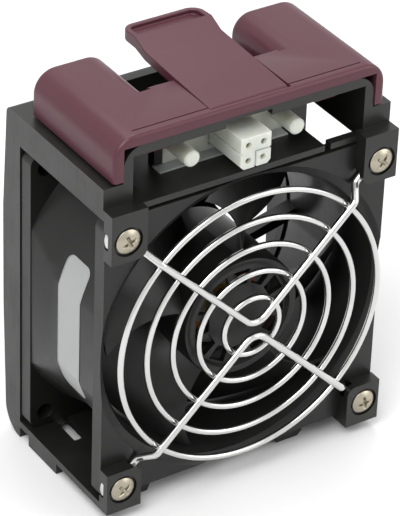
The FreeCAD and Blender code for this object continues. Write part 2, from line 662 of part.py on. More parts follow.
def make_carrier():
    """Moulded bracket: lugs, shelf, arch, rear frame and bottom plate in one piece."""
    body = new_body("carrier")
    half = s.carrier_half
    grow(body, "rear_frame", "YZ_Plane", -half, half, [[
        (s.rear_start, s.foot_bottom), (s.rear_low, s.foot_bottom), (s.rear_mid, -8.0),
        (s.rear_mid, 20.0), (s.rear_top, s.ledge_top), (s.rear_start, s.ledge_top)]])
    soften(body, "rear_foot_round", s.rear_corner,
           lambda p: near(p.y, s.rear_low) and near(p.z, s.foot_bottom), "x")
    soften(body, "rear_head_round", s.rear_rim_thk,
           lambda p: near(p.y, s.rear_top) and near(p.z, s.ledge_top), "x")
    rim = s.rear_rim_thk
    cut(body, "rear_hollow", "XZ_Plane", s.rear_start + s.rear_panel_thk, s.rear_mid + 1.0,
        [box(-half + rim, half - rim, s.plate_top, s.ledge_top - rim)])
    grow(body, "rear_rib", "XZ_Plane", s.rear_start, s.rear_start + rim,
         [box(-s.rib_half, s.rib_half, s.ledge_top - rim, s.ledge_top + s.rib_height)])
    cut(body, "air_outlet", "XZ_Plane", s.rear_start - 1.0, s.rear_mid, [(0.0, 0.0, s.rear_air_r)])
    grow(body, "bottom_plate", "XY_Plane", s.plate_bottom, s.plate_top,
         [[(-half, 0.0), (-s.lug_inner, 0.0), (-s.lug_inner, s.plate_notch_back),
           (s.lug_inner, s.plate_notch_back), (s.lug_inner, 0.0), (half, 0.0),
           (half, s.rear_start + 0.5), (-half, s.rear_start + 0.5)]])
    for name, side in (("left", -1.0), ("right", 1.0)):
        inner = side * s.wall_inner
        outer = side * half
        grow(body, name + "_wall", "XZ_Plane", s.arch_front, s.rear_start + 0.5,
             [box(inner, outer, s.roof_bottom, s.ledge_top)])
        grow(body, name + "_upper_lug", "XZ_Plane", 0.0 * s.arch_front, s.fan_front, [[
            (outer, s.lug_reach), (side * s.lug_inner, s.lug_reach),
            (side * s.lug_inner, s.lug_top), (outer, s.lug_top)]])
        grow(body, name + "_lug_root", "XZ_Plane", 0.0 * s.arch_front, s.arch_front + 0.5,
             [box(side * s.lug_inner, outer, s.roof_bottom, s.lug_top)])
        grow(body, name + "_lower_lug", "XZ_Plane", 0.0 * s.arch_front, s.fan_front,
             [box(outer, side * s.lug_inner, s.plate_bottom, -s.lug_reach)])
        grow(body, name + "_foot_rail", "XZ_Plane", s.side_rail_start, s.side_rail_end,
             [box(outer, side * (half - s.rail_thk), s.foot_bottom, s.plate_bottom)])
        grow(body, name + "_arch_wall", "XZ_Plane", s.arch_front, ARCH_WALL_BACK,
             [box(inner, side * s.arch_half, s.ledge_top - 1.0, s.arch_wall_top)])
    open_left = s.shelf_right
    grow(body, "shelf", "XY_Plane", s.roof_bottom, s.roof_top, [[
        (-s.wall_inner - 0.5, s.arch_front), (open_left, s.arch_front),
        (open_left, s.shelf_open_back), (s.wall_inner + 0.5, s.shelf_open_back),
        (s.wall_inner + 0.5, s.rear_start + 0.5), (-s.wall_inner - 0.5, s.rear_start + 0.5)]])
    grow(body, "shelf_bar", "XY_Plane", s.roof_bottom, s.roof_top,
         [box(s.shelf_right + s.shelf_slit, s.wall_inner + 0.5, s.arch_front,
              s.shelf_bar_back)])
    grow(body, "arch", "XZ_Plane", s.arch_front, s.arch_front + s.arch_depth, [[
        (-s.arch_half, s.ledge_top - 1.0), (-s.wall_inner, s.ledge_top - 1.0),
        (-s.wall_inner, s.arch_inner_top), (s.wall_inner, s.arch_inner_top),
        (s.wall_inner, s.ledge_top - 1.0), (s.arch_half, s.ledge_top - 1.0),
        (s.arch_half, s.arch_top), (-s.arch_half, s.arch_top)]])
    soften(body, "arch_corners", s.arch_corner,
           lambda p: near(abs(p.x), s.arch_half) and near(p.z, s.arch_top), "y")
    cut(body, "arch_opening", "XZ_Plane", s.arch_front, s.arch_front + s.arch_depth,
        [box(s.arch_gap_left, s.arch_gap_right, s.arch_inner_top - 1.0, s.arch_top - 1.1)])
    low = s.foot_bottom
    slope = s.foot_slope
    for name, inner, outer in (("left", -s.left_foot_in, -s.left_foot_out),
                               ("right", s.right_foot_in, s.right_foot_out)):
        lean = slope if float(outer) > 0 else -slope
        grow(body, name + "_foot", "XZ_Plane", s.plate_notch_back, s.foot_back, [[
            (inner + lean, low), (outer - lean, low), (outer, low + slope),
            (outer, s.plate_bottom), (inner, s.plate_bottom)]])
    grow_pin_bosses(body)
    cut(body, "plate_slot", "XY_Plane", s.plate_bottom, s.plate_top,
        [box(-s.lug_inner - s.slot_in, -s.lug_inner - s.slot_in + s.slot_width,
             s.slot_start, s.slot_end)])
    screws = [(sx * s.screw_half, sz * s.screw_half) for sx in (-1.0, 1.0) for sz in (-1.0, 1.0)]
    zero = 0.0 * s.arch_front
    cut(body, "lug_holes", "XZ_Plane", zero, s.fan_front,
        [(x, z, s.lug_hole_r) for x, z in screws])
    cut(body, "counterbores", "XZ_Plane", zero, s.counterbore_depth,
        [(x, z, s.counterbore_r) for x, z in screws])
    back = s.fan_front - 2.0 * s.spoke_wire_r - 0.05
    cut(body, "eyelet_pockets", "XZ_Plane", back, s.fan_front,
        [(x, z, s.eyelet_pocket_r) for x, z in screws])
    wire = s.spoke_wire_r * 1.6
    for i, (x, z) in enumerate(screws):
        sx = 1.0 if float(x) > 0 else -1.0
        sz = 1.0 if float(z) > 0 else -1.0
        cut(body, "leg_slot%d" % i, "XZ_Plane", back, s.fan_front, [[
            (x - sx * wire, z + sz * wire), (x + sx * wire, z - sz * wire),
            (x + sx * (wire - 8.0), z - sz * (wire + 8.0)),
            (x - sx * (wire + 8.0), z + sz * (wire - 8.0))]])
    soften(body, "lug_round", s.lug_corner,
           lambda p: near(abs(p.x), s.lug_inner) and near(abs(p.z), s.lug_reach), "y")
    return node(body, "carrier")


def grow_pin_bosses(body):
    """Posts on the shelf that hold the connector's moulding from both sides."""
    low = s.roof_top - 0.5 * s.roof_thk
    back = s.mount_plate_at + s.mount_plate_thk
    edge = s.mount_plate_half + s.cap_clearance
    for name, side in (("left", -1.0), ("right", 1.0)):
        grow(body, name + "_post", "XZ_Plane", s.mount_plate_at + 0.1, back + 1.0,
             [box(side * edge, side * (edge + s.rear_panel_thk), low, s.mount_plate_top)])


# ------------------------------------------------- handle cap and lever

def make_handle_cap():
    """Clip-on cover: front strip, two round-shouldered pods and two clip legs."""
    body = new_body("handle_cap")
    grow(body, "block", "XZ_Plane", s.cap_front, s.cap_back,
         [box(-s.cap_half, s.cap_half, s.cap_bottom, s.cap_top)])
    soften(body, "outer_shoulders", s.cap_corner,
           lambda p: near(abs(p.x), s.cap_half) and near(p.z, s.cap_top), "y")
    cut(body, "notch", "XY_Plane", s.cap_bottom - 1.0, s.cap_top + 1.0,
        [box(-s.pod_inner, s.pod_inner, s.strip_back, s.cap_back + 1.0)])
    soften(body, "inner_shoulders", s.pod_shoulder,
           lambda p: near(abs(p.x), s.pod_inner) and near(p.z, s.cap_top), "y")
    in_half = s.arch_half + s.cap_clearance
    in_top = s.arch_top + s.cap_clearance
    pod = s.pod_inner + s.pod_wall
    low = s.cap_bottom - 1.0
    for name, side in (("left", -1.0), ("right", 1.0)):
        cut(body, name + "_cavity", "XZ_Plane", s.cap_front - 1.0, s.cap_back - s.cap_back_wall,
            [box(side * pod, side * in_half, low, in_top)])
    cut(body, "front_cavity", "XZ_Plane", s.cap_front - 1.0, s.strip_back + 0.1,
        [box(-pod - 0.1, pod + 0.1, low, in_top)])
    slot = s.lever_half + s.lever_gap
    tail = s.strip_back + s.lip_depth
    low = in_top - s.lip_drop
    for name, start, end in (("left", -s.pod_inner, -slot), ("right", slot, s.pod_inner)):
        grow(body, name + "_lip", "YZ_Plane", start, end, [[
            (s.strip_back - 0.5, in_top), (s.strip_back - 0.5, s.cap_top),
            (s.strip_back + 0.3 * s.lip_depth, s.cap_top),
            (s.strip_back + 0.8 * s.lip_depth, s.cap_top - 0.3 * s.lip_depth),
            (tail, s.cap_top - 0.9 * s.lip_depth), (tail, low),
            (tail - s.lip_wall, low), (tail - s.lip_wall, in_top)]])
    line = s.cap_front + 2.0 * s.bead_r
    inner = s.cap_half - s.cap_corner
    cut(body, "bead_line", "XY_Plane", s.cap_top - s.bead_line, s.cap_top + 1.0,
        [box(-inner, inner, line, line + s.bead_line)])
    cut(body, "lever_slot", "XY_Plane", s.cap_bottom, s.cap_top + 1.0,
        [box(-slot, slot, s.lever_root - s.lever_thk / 2.0 - s.lever_gap, s.strip_back + 0.5)])
    leg_at = s.arch_front + s.arch_depth + s.cap_clearance
    for name, side in (("left", -1.0), ("right", 1.0)):
        grow(body, name + "_clip_leg", "YZ_Plane",
             s.clip_leg_in if side > 0 else -s.clip_leg_out,
             s.clip_leg_out if side > 0 else -s.clip_leg_in, [[
                 (leg_at, in_top + 0.2), (leg_at, s.arch_inner_top - 0.2),
                 (leg_at - s.clip_barb, s.arch_inner_top - 0.5),
                 (leg_at, s.clip_leg_low), (leg_at + s.clip_leg_thk, s.clip_leg_low),
                 (leg_at + s.clip_leg_thk, in_top + 0.2)]])
    soften(body, "front_bead", s.bead_r,
           lambda p: near(p.y, s.cap_front) and (abs(p.x) > float(s.cap_half) - 0.1
                                                 or p.z > float(s.cap_top) - 0.1))
    soften(body, "back_round", 1.6,
           lambda p: near(p.y, s.cap_back) and p.z > float(s.cap_bottom) + 1.0
           and (near(abs(p.x), s.cap_half) or near(p.z, s.cap_top)
                or near(abs(p.x), s.pod_inner)))
    return node(body, "handle_cap")


def make_release_lever():
    """Springy tongue over the notch, ending in a rimmed and dished thumb paddle."""
    body = new_body("release_lever")
    thk = s.lever_thk
    grow(body, "tongue", "YZ_Plane", -s.lever_half, s.lever_half, [[
        (s.lever_root, s.lever_root_top), (s.lever_bend, s.lever_bend_top),
        (s.lever_crest, s.lever_crest_top), (s.lever_end, s.lever_rim_top),
        (s.lever_end, s.lever_end_low), (s.lever_crest, s.lever_end_low),
        (s.lever_bend, s.lever_bend_top - thk), (s.lever_root, s.lever_root_top - thk)]])
    grow(body, "root_bead", "YZ_Plane", -s.lever_half, s.lever_half,
         [(s.lever_root, LEVER_AXIS_Z, thk / 2.0)])
    soften(body, "end_round", s.paddle_corner,
           lambda p: near(p.y, s.lever_end) and near(abs(p.x), s.lever_half), "z")
    rim = s.paddle_rim
    cut(body, "thumb_dish", "XY_Plane", s.lever_dish_top, s.lever_crest_top + 1.0,
        [box(-s.lever_half + rim, s.lever_half - rim, s.lever_crest + rim / 2.0,
             s.lever_end - rim)])
    soften(body, "dish_corners", s.paddle_corner - rim,
           lambda p: (near(abs(p.x), s.lever_half - rim) and p.z > float(s.lever_dish_top) - 0.1
                      and near(p.y, s.lever_end - rim)), "z")
    return node(body, "release_lever")


# ----------------------------------------------------------- finger guard

def fillet_path(points, radius):
    """Straight runs joined by tangent arcs, as one wire of edges."""
    edges = []
    start = points[0]
    for i in range(1, len(points) - 1):
        a = (points[i - 1] - points[i]).normalize()
        b = (points[i + 1] - points[i]).normalize()
        turn_angle = math.pi - a.getAngle(b)
        reach = radius[i - 1] * math.tan(turn_angle / 2.0)
        first = points[i] + a * reach
        last = points[i] + b * reach
        middle = (a + b).normalize() * (radius[i - 1] / math.cos(turn_angle / 2.0) - radius[i - 1])
        edges.append(Part.makeLine(start, first))
        edges.append(Part.Arc(first, points[i] + middle, last).toShape())
        start = last
    edges.append(Part.makeLine(start, points[-1]))
    return edges


def eyelet(centre, toward, radius, bend, side):
    """Wire bent into a loop round a screw: its edges, and where its leg starts."""
    along = (toward - centre).normalize()
    across = along.cross(Vector(0, 1, 0)) * side
    pivot = centre + across * bend + along * math.sqrt((radius + bend) ** 2 - bend ** 2)
    leg = pivot - across * bend
    out = (pivot - centre).normalize()
    meet = centre + out * radius
    middle = pivot - (out + across).normalize() * bend
    quarter = out.cross(Vector(0, 1, 0)) * side
    swing = math.radians(300.0)

    def on_loop(angle):
        return centre + (out * math.cos(angle) + quarter * math.sin(angle)) * radius

    loop = Part.Arc(on_loop(swing), on_loop(swing / 2.0), meet).toShape()
    heel = Part.Arc(meet, middle, leg).toShape()
    heading = (quarter * math.cos(swing) - out * math.sin(swing)) * -1.0
    return [loop, heel], leg, on_loop(swing), heading


def make_spoke(name, sign):
    """One V-shaped wire: bend near the middle, legs that step back to eyelets."""
    plane = float(s.ring_plane) - float(s.ring_wire_r) - float(s.spoke_wire_r)
    seat = float(s.fan_front) - float(s.spoke_wire_r)
    screw = float(s.screw_half)
    step = float(s.spoke_step_at)
    foot = step + float(s.spoke_step_run)
    rise = float(s.spoke_apex)
    slope = (step - rise) / step
    wire_r = float(s.spoke_wire_r)
    halves = []
    for side in (-1.0, 1.0):
        centre = Vector(side * screw, seat, sign * screw)
        heel = Vector(side * foot, seat, sign * (rise + slope * foot))
        edges, leg, tip, heading = eyelet(centre, heel, float(s.eyelet_r), wire_r * 1.4,
                                          side * sign)
        halves.append((edges, [leg, heel, Vector(side * step, plane, sign * step)], tip,
                       heading))
    left, right = halves
    path = left[1] + [Vector(0, plane, sign * rise * 0.2)] + list(reversed(right[1]))
    bend = float(s.spoke_bend_r)
    small = bend * 0.5
    edges = left[0] + fillet_path(path, [small, small, bend, small, small])
    edges += list(reversed(right[0]))
    section = wire_section(left[2], left[3], wire_r)
    wire = Part.Wire(edges)
    shape = wire.makePipeShell([section], True, False)
    expected = 8.0 * math.tan(math.pi / 8.0) * wire_r ** 2 * wire.Length
    if abs(shape.Volume / expected - 1.0) > 0.02:
        raise RuntimeError(name + " sweep lost volume")
    return shape_node(name, shape)


def wire_section(centre, heading, radius):
    """Eight-sided outline of the drawn wire, square to its heading."""
    turned = FreeCAD.Rotation(Vector(0, 0, 1), heading)
    corners = []
    for i in range(9):
        angle = math.pi / 4.0 * i + math.pi / 8.0
        corner = Vector(math.cos(angle), math.sin(angle), 0) * (radius / math.cos(math.pi / 8.0))
        corners.append(centre + turned.multVec(corner))
    corners[-1] = corners[0]
    return Part.makePolygon(corners)


def make_guard():
    """Concentric rings behind two crossing V wires, welded where they touch."""
    rings = []
    for i in range(int(round(float(s.ring_count)))):
        radius = float(s.ring_first) + float(s.ring_pitch) * i
        outline = wire_section(Vector(radius, float(s.ring_plane), 0), Vector(0, 0, 1),
                               float(s.ring_wire_r))
        rings.append(Part.Face(outline).revolve(Vector(0, 0, 0), Vector(0, 1, 0), 360))
    shape_node("guard_rings", Part.makeCompound(rings))
    make_spoke("guard_upper_wire", 1.0)
    make_spoke("guard_lower_wire", -1.0)


def make_screws():
    """Four pan-head screws with cross recesses, one at each corner lug."""
    body = new_body("screw_pattern")
    seat = s.counterbore_depth
    top = seat - s.head_height
    turn(body, "screw_blank", "PartDesign::Revolution", [
        (top, 0.0), (top, s.head_r * 0.45), (top + s.head_height * 0.18, s.head_r * 0.78),
        (top + s.head_height * 0.55, s.head_r), (seat, s.head_r), (seat, s.shank_r),
        (seat + s.shank_length - 1.0, s.shank_r), (seat + s.shank_length, s.shank_r * 0.6),
        (seat + s.shank_length, 0.0)])
    bar = s.recess_length / 2.0
    thin = s.recess_width / 2.0
    cut(body, "cross", "XZ_Plane", top - 0.5, top + s.recess_depth, [[
        (-thin, bar), (-thin, thin), (-bar, thin), (-bar, -thin), (-thin, -thin),
        (-thin, -bar), (thin, -bar), (thin, -thin), (bar, -thin), (bar, thin), (thin, thin),
        (thin, bar)]])
    doc.recompute()
    copies = []
    for sx, sz, turned in ((-1, 1, 20), (1, 1, 50), (-1, -1, 35), (1, -1, 5)):
        copy = body.Shape.copy()
        copy.rotate(Vector(0, 0, 0), Vector(0, 1, 0), turned)
        copy.translate(Vector(sx * float(s.screw_half), 0, sz * float(s.screw_half)))
        copies.append(copy)
    shape_node("guard_screws", Part.makeCompound(copies))


# -------------------------------------------------------------- connector

def cell_centres():
    half = s.cell_pitch / 2.0
    mid = s.plug_low + s.cell_pitch
    return [(sx * half, mid + sz * half) for sx in (-1.0, 1.0) for sz in (-1.0, 1.0)]


def make_connector():
    """Power plug: a housing with split cells, on a moulding with two guide pins."""
    plug = new_body("connector_housing")
    half = s.plug_half
    grow(plug, "plug_block", "XZ_Plane", s.plug_front, s.plug_back,
         [box(-half, half, s.plug_low, PLUG_HIGH)])
    split = s.cell_split / 2.0
    mid = s.plug_low + s.cell_pitch
    cut(plug, "cell_splits", "XZ_Plane", s.plug_front, s.plug_front + s.cell_split_depth, [[
        (-split, s.plug_low - 1.0), (split, s.plug_low - 1.0), (split, mid - split),
        (half + 1.0, mid - split), (half + 1.0, mid + split), (-split, mid + split)]])
    for name, inner, outer in (("left", -half - 1.0, s.side_groove - half),
                               ("right", half - s.side_groove, half + 1.0)):
        cut(plug, name + "_groove", "XZ_Plane", s.plug_front, s.plug_back,
            [box(inner, outer, mid - split, mid + split)])
    cut(plug, "contact_holes", "XZ_Plane", s.plug_front, s.plug_back,
        [(x, z, s.cell_hole_r + s.contact_wall) for x, z in cell_centres()])
    soften(plug, "low_corners", 0.9,
           lambda p: near(abs(p.x), s.plug_half) and near(p.z, s.plug_low), "y",
           "PartDesign::Chamfer")
    node(plug, "connector_housing")
    pins = new_body("connector_contacts")
    loops = []
    for x, z in cell_centres():
        loops.append((x, z, s.cell_hole_r + s.contact_wall))
        loops.append((x, z, s.cell_hole_r))
    grow(pins, "sockets", "XZ_Plane", s.plug_front + 1.0, s.plug_back, loops)
    node(pins, "connector_contacts")
    plate = new_body("connector_bracket")
    at = s.mount_plate_at
    back = at + s.mount_plate_thk
    wide = s.mount_plate_half
    tab = s.mount_tab_half
    low = s.mount_plate_low
    grow(plate, "wing", "XZ_Plane", at, back, [[
        (-wide, low), (wide, low), (wide, s.mount_plate_top), (tab, s.mount_plate_top),
        (tab, s.mount_tab_top), (-tab, s.mount_tab_top), (-tab, s.mount_plate_top),
        (-wide, s.mount_plate_top)]])
    cut(plate, "plug_window", "XZ_Plane", at, back, [box(-half, half, s.plug_low, PLUG_HIGH)])
    grow(plate, "web", "XY_Plane", low, low + s.web_thk,
         [box(-s.web_left, s.web_right, at - s.web_reach, at + 0.5)])
    for name, side in (("left", -1.0), ("right", 1.0)):
        grow(plate, name + "_pin", "XZ_Plane", s.pin_tip, at + 0.5,
             [(side * s.pin_offset, s.pin_height, s.pin_r)])
    soften(plate, "pin_ends", s.pin_chamfer, lambda p: near(p.y, s.pin_tip), None,
           "PartDesign::Chamfer")
    node(plate, "connector_bracket")


# ------------------------------------------------------------------ label

def make_label():
    """Blank paper label wrapped on the left flat of the fan's barrel."""
    flat = float(s.fan_half - s.barrel_inset)
    thk = float(s.label_thk)

    def barrel(extra):
        drum = Part.makeCylinder(float(s.barrel_r) + extra, float(s.fan_depth),
                                 Vector(0, float(s.fan_front), 0), Vector(0, 1, 0))
        wide = flat + extra
        block = Part.makeBox(2 * wide, float(s.fan_depth), 2 * wide,
                             Vector(-wide, float(s.fan_front), -wide))
        return drum.common(block)

    length = float(s.label_end) - float(s.label_start)
    window = Part.makeBox(20.0, length, float(s.label_high - s.label_low),
                          Vector(-flat - 5.0, float(s.label_start), float(s.label_low)))
    shape_node("fan_label", barrel(thk).cut(barrel(0.0)).common(window))


# ------------------------------------------------------------------ build

def check_and_export():
    """Refuse a failed feature or a bad solid, then write one file for each node."""
    doc.recompute()
    for item in doc.Objects:
        if "Invalid" in item.State or "Error" in item.State:
            raise RuntimeError("%s did not compute: %s" % (item.Name, item.State))
    os.makedirs("parts", exist_ok=True)
    for item in NODES:
        shape = item.Shape
        if shape.isNull() or not shape.isValid() or not shape.Solids:
            raise RuntimeError("%s has no valid solid" % item.Label)
        shape.exportStep("parts/%s.step" % item.Label)
        bounds = shape.optimalBoundingBox(False)
        print("%-22s solids %d  volume %9.1f  x %7.2f %7.2f  y %7.2f %7.2f  z %7.2f %7.2f" % (
            item.Label, len(shape.Solids), shape.Volume, bounds.XMin, bounds.XMax,
            bounds.YMin, bounds.YMax, bounds.ZMin, bounds.ZMax))


make_fan_housing()
make_motor()
make_impeller()
make_carrier()
make_handle_cap()
make_release_lever()
make_guard()
make_screws()
make_connector()
make_label()
check_and_export()
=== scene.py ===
"""Looks of a hot-swap server fan module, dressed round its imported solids.

The frame is in metres: +X right, +Y along the air flow, +Z up, the origin on
the surface that the feet stand on, under the middle of the module.
"""

import logging
import math
from dataclasses import dataclass
from enum import Enum
from typing import Dict, Sequence, Tuple

import bmesh
import bpy
import numpy as np
from mathutils import Matrix, Vector


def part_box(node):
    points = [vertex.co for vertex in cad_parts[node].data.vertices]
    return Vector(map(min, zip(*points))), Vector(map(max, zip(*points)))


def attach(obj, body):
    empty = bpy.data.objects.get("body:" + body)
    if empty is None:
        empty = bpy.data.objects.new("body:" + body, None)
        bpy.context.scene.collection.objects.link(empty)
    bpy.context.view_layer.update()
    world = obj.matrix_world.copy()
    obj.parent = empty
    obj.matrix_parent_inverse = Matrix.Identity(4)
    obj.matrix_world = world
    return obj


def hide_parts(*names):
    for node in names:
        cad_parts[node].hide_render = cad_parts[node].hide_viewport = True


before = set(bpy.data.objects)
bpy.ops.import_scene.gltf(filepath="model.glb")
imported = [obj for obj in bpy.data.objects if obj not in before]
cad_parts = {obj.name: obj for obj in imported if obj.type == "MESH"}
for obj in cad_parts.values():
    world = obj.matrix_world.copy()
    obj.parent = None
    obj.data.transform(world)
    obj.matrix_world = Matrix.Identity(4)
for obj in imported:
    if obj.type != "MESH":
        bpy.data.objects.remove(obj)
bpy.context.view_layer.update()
log = logging.getLogger("fan_module")

MM = 0.001
WELD = 2e-6
SLIVER = 1e-6
FLAT_DEG = 0.5
FULL_TURN = 2.0 * math.pi
MIX_FACTOR, MIX_FIRST, MIX_SECOND, MIX_RESULT = 0, 6, 7, 2
DUST_COLOUR = (0.42, 0.40, 0.37, 1.0)
Colour = Tuple[float, float, float]


class Body(str, Enum):
    """Rigid bodies that a piece can ride on."""

    MODULE = "module"
    ROTOR = "rotor"
    LEVER = "lever"


# ------------------------------------------------------------------ meshes


def grid_mesh(name: str, points: np.ndarray, wrap_u: bool, wrap_v: bool,
              caps: bool = False) -> bpy.types.Mesh:
    """Turn a grid of points, a function of two parameters, into a mesh.

    Quad (i, j) joins points (i, j), (i+1, j), (i+1, j+1) and (i, j+1); a
    wrapped direction joins its last row to its first.

    Args:
        name: Name of the mesh.
        points: Array of shape (rows, columns, 3) in metres.
        wrap_u: Whether the rows close on themselves.
        wrap_v: Whether the columns close on themselves.
        caps: Whether the first and last rows are filled with one face each.

    Returns:
        The new mesh, shaded smooth.
    """
    rows, cols = points.shape[:2]
    i = np.arange(rows if wrap_u else rows - 1)
    j = np.arange(cols if wrap_v else cols - 1)
    ii, jj = (a.ravel() for a in np.meshgrid(i, j, indexing="ij"))
    i2, j2 = (ii + 1) % rows, (jj + 1) % cols
    quads = np.stack([ii * cols + jj, i2 * cols + jj, i2 * cols + j2, ii * cols + j2], axis=1)
    faces = quads.tolist()
    if caps:
        faces.append(list(range(cols))[::-1])
        faces.append(list(range((rows - 1) * cols, rows * cols)))
    mesh = bpy.data.meshes.new(name)
    mesh.from_pydata(points.reshape(-1, 3).tolist(), [], faces)
    mesh.update()
    mesh.shade_smooth()
    return mesh


def place(mesh: bpy.types.Mesh, name: str) -> bpy.types.Object:
    """Link a mesh into the scene as an untransformed object.

    Args:
        mesh: The finished mesh.
        name: Name of the object.

    Returns:
        The new object.
    """
    piece = bpy.data.objects.new(name, mesh)
    bpy.context.scene.collection.objects.link(piece)
    return piece


def dress(piece: bpy.types.Object, material: bpy.types.Material,
          body: Body) -> bpy.types.Object:
    """Give a piece its finish and the body it rides on.

    Args:
        piece: The piece to dress.
        material: Its finish.
        body: The rigid body that carries it.

    Returns:
        The same piece.
    """
    piece.data.materials.clear()
    piece.data.materials.append(material)
    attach(piece, body.value)
    log.info("%s: %d faces on %s", piece.name, len(piece.data.polygons), body.value)
    return piece


def turned_about_axis(points: np.ndarray, degrees: float, axis_z: float) -> np.ndarray:
    """Turn points about the fan's axis, the line along Y at height axis_z.

    Args:
        points: Array whose last dimension is x, y, z in metres.
        degrees: Angle, from +X towards +Z.
        axis_z: Height of the axis.

    Returns:
        The turned points.
    """
    angle = math.radians(degrees)
    x, z = points[..., 0], points[..., 2] - axis_z
    return np.stack([x * math.cos(angle) - z * math.sin(angle), points[..., 1],
                     axis_z + x * math.sin(angle) + z * math.cos(angle)], axis=-1)


def tidy_copy(node: str, name: str, crease_deg: float = 32.0,
              bevel_mm: float = 0.0) -> bpy.types.Object:
    """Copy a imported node's mesh, weld it and round its hard edges a little.

    Flat areas are merged back into whole faces first, so that the bevel runs
    cleanly along each real edge.

    Args:
        node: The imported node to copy.
        name: Name of the new piece, which stands for the node.
        crease_deg: Faces that meet at more than this angle keep a hard edge.
        bevel_mm: Width of the rounding on each hard edge, or 0 for none.

    Returns:
        The new piece, which replaces the node.
    """
    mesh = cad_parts[node].data.copy()
    mesh.name = name
    work = bmesh.new()
    work.from_mesh(mesh)
    bmesh.ops.remove_doubles(work, verts=work.verts, dist=WELD)
    bmesh.ops.dissolve_degenerate(work, dist=SLIVER, edges=work.edges)
    if bevel_mm:
        bmesh.ops.dissolve_limit(work, angle_limit=math.radians(FLAT_DEG), verts=work.verts,
                                 edges=work.edges, delimit={"NORMAL"})
    limit = math.radians(crease_deg)
    for edge in work.edges:
        edge.smooth = not edge.is_manifold or edge.calc_face_angle(0.0) < limit
    for face in work.faces:
        face.smooth = True
    work.to_mesh(mesh)
    work.free()
    if mesh.has_custom_normals:
        mesh.normals_split_custom_set([(0.0, 0.0, 0.0)] * len(mesh.loops))
    piece = place(mesh, name)
    if bevel_mm:
        bevel = piece.modifiers.new("rounded_edges", "BEVEL")
        bevel.width = bevel_mm * MM
        bevel.segments = 2
        bevel.limit_method = "ANGLE"
        bevel.angle_limit = limit
        bevel.use_clamp_overlap = True
        bevel.harden_normals = True
    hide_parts(node)
    return piece


# --------------------------------------------------------------- materials


class NodeSketch:
    """Small helper that adds and links nodes in one tree."""

    def __init__(self, tree: bpy.types.NodeTree) -> None:
        """Remember the tree to draw in."""
        self.tree = tree

    def add(self, kind: str, **values: object) -> bpy.types.Node:
        """Add a node and set its properties.

        Args:
            kind: Type of the node.
            **values: Properties to set on it.

        Returns:
            The new node.
        """
        node = self.tree.nodes.new(kind)
        for key, value in values.items():
            setattr(node, key, value)
        return node

    def link(self, start: object, end: object) -> None:
        """Join an output socket to an input socket."""
        self.tree.links.new(start, end)

    def maths(self, operation: str, first: object, second: object = None,
              clamp: bool = False) -> object:
        """Add a Math node fed by sockets or plain numbers.

        Args:
            operation: The node's operation.
            first: Socket or number for the first input.
            second: Socket or number for the second input, if it has one.
            clamp: Whether the result is held between 0 and 1.

        Returns:
            Its output socket.
        """
        node = self.add("ShaderNodeMath", operation=operation, use_clamp=clamp)
        for slot, item in enumerate((first, second)):
            if item is None:
                continue
            if isinstance(item, (int, float)):
                node.inputs[slot].default_value = item
            else:
                self.link(item, node.inputs[slot])
        return node.outputs[0]


def new_group(name: str, inputs: Dict[str, Tuple[str, object]],
              outputs: Dict[str, str]) -> Tuple[bpy.types.NodeTree, NodeSketch, object, object]:
    """Start a shader node group with named sockets.

    Args:
        name: Group name.
        inputs: Socket name to its type and default value.
        outputs: Socket name to its type.

    Returns:
        The tree, a sketch for it, and its input and output nodes.
    """
    tree = bpy.data.node_groups.new(name, "ShaderNodeTree")
    for key, (kind, default) in inputs.items():
        socket = tree.interface.new_socket(key, in_out="INPUT", socket_type=kind)
        if default is not None:
            socket.default_value = default
    for key, kind in outputs.items():
        tree.interface.new_socket(key, in_out="OUTPUT", socket_type=kind)
    sketch = NodeSketch(tree)
    return tree, sketch, sketch.add("NodeGroupInput"), sketch.add("NodeGroupOutput")


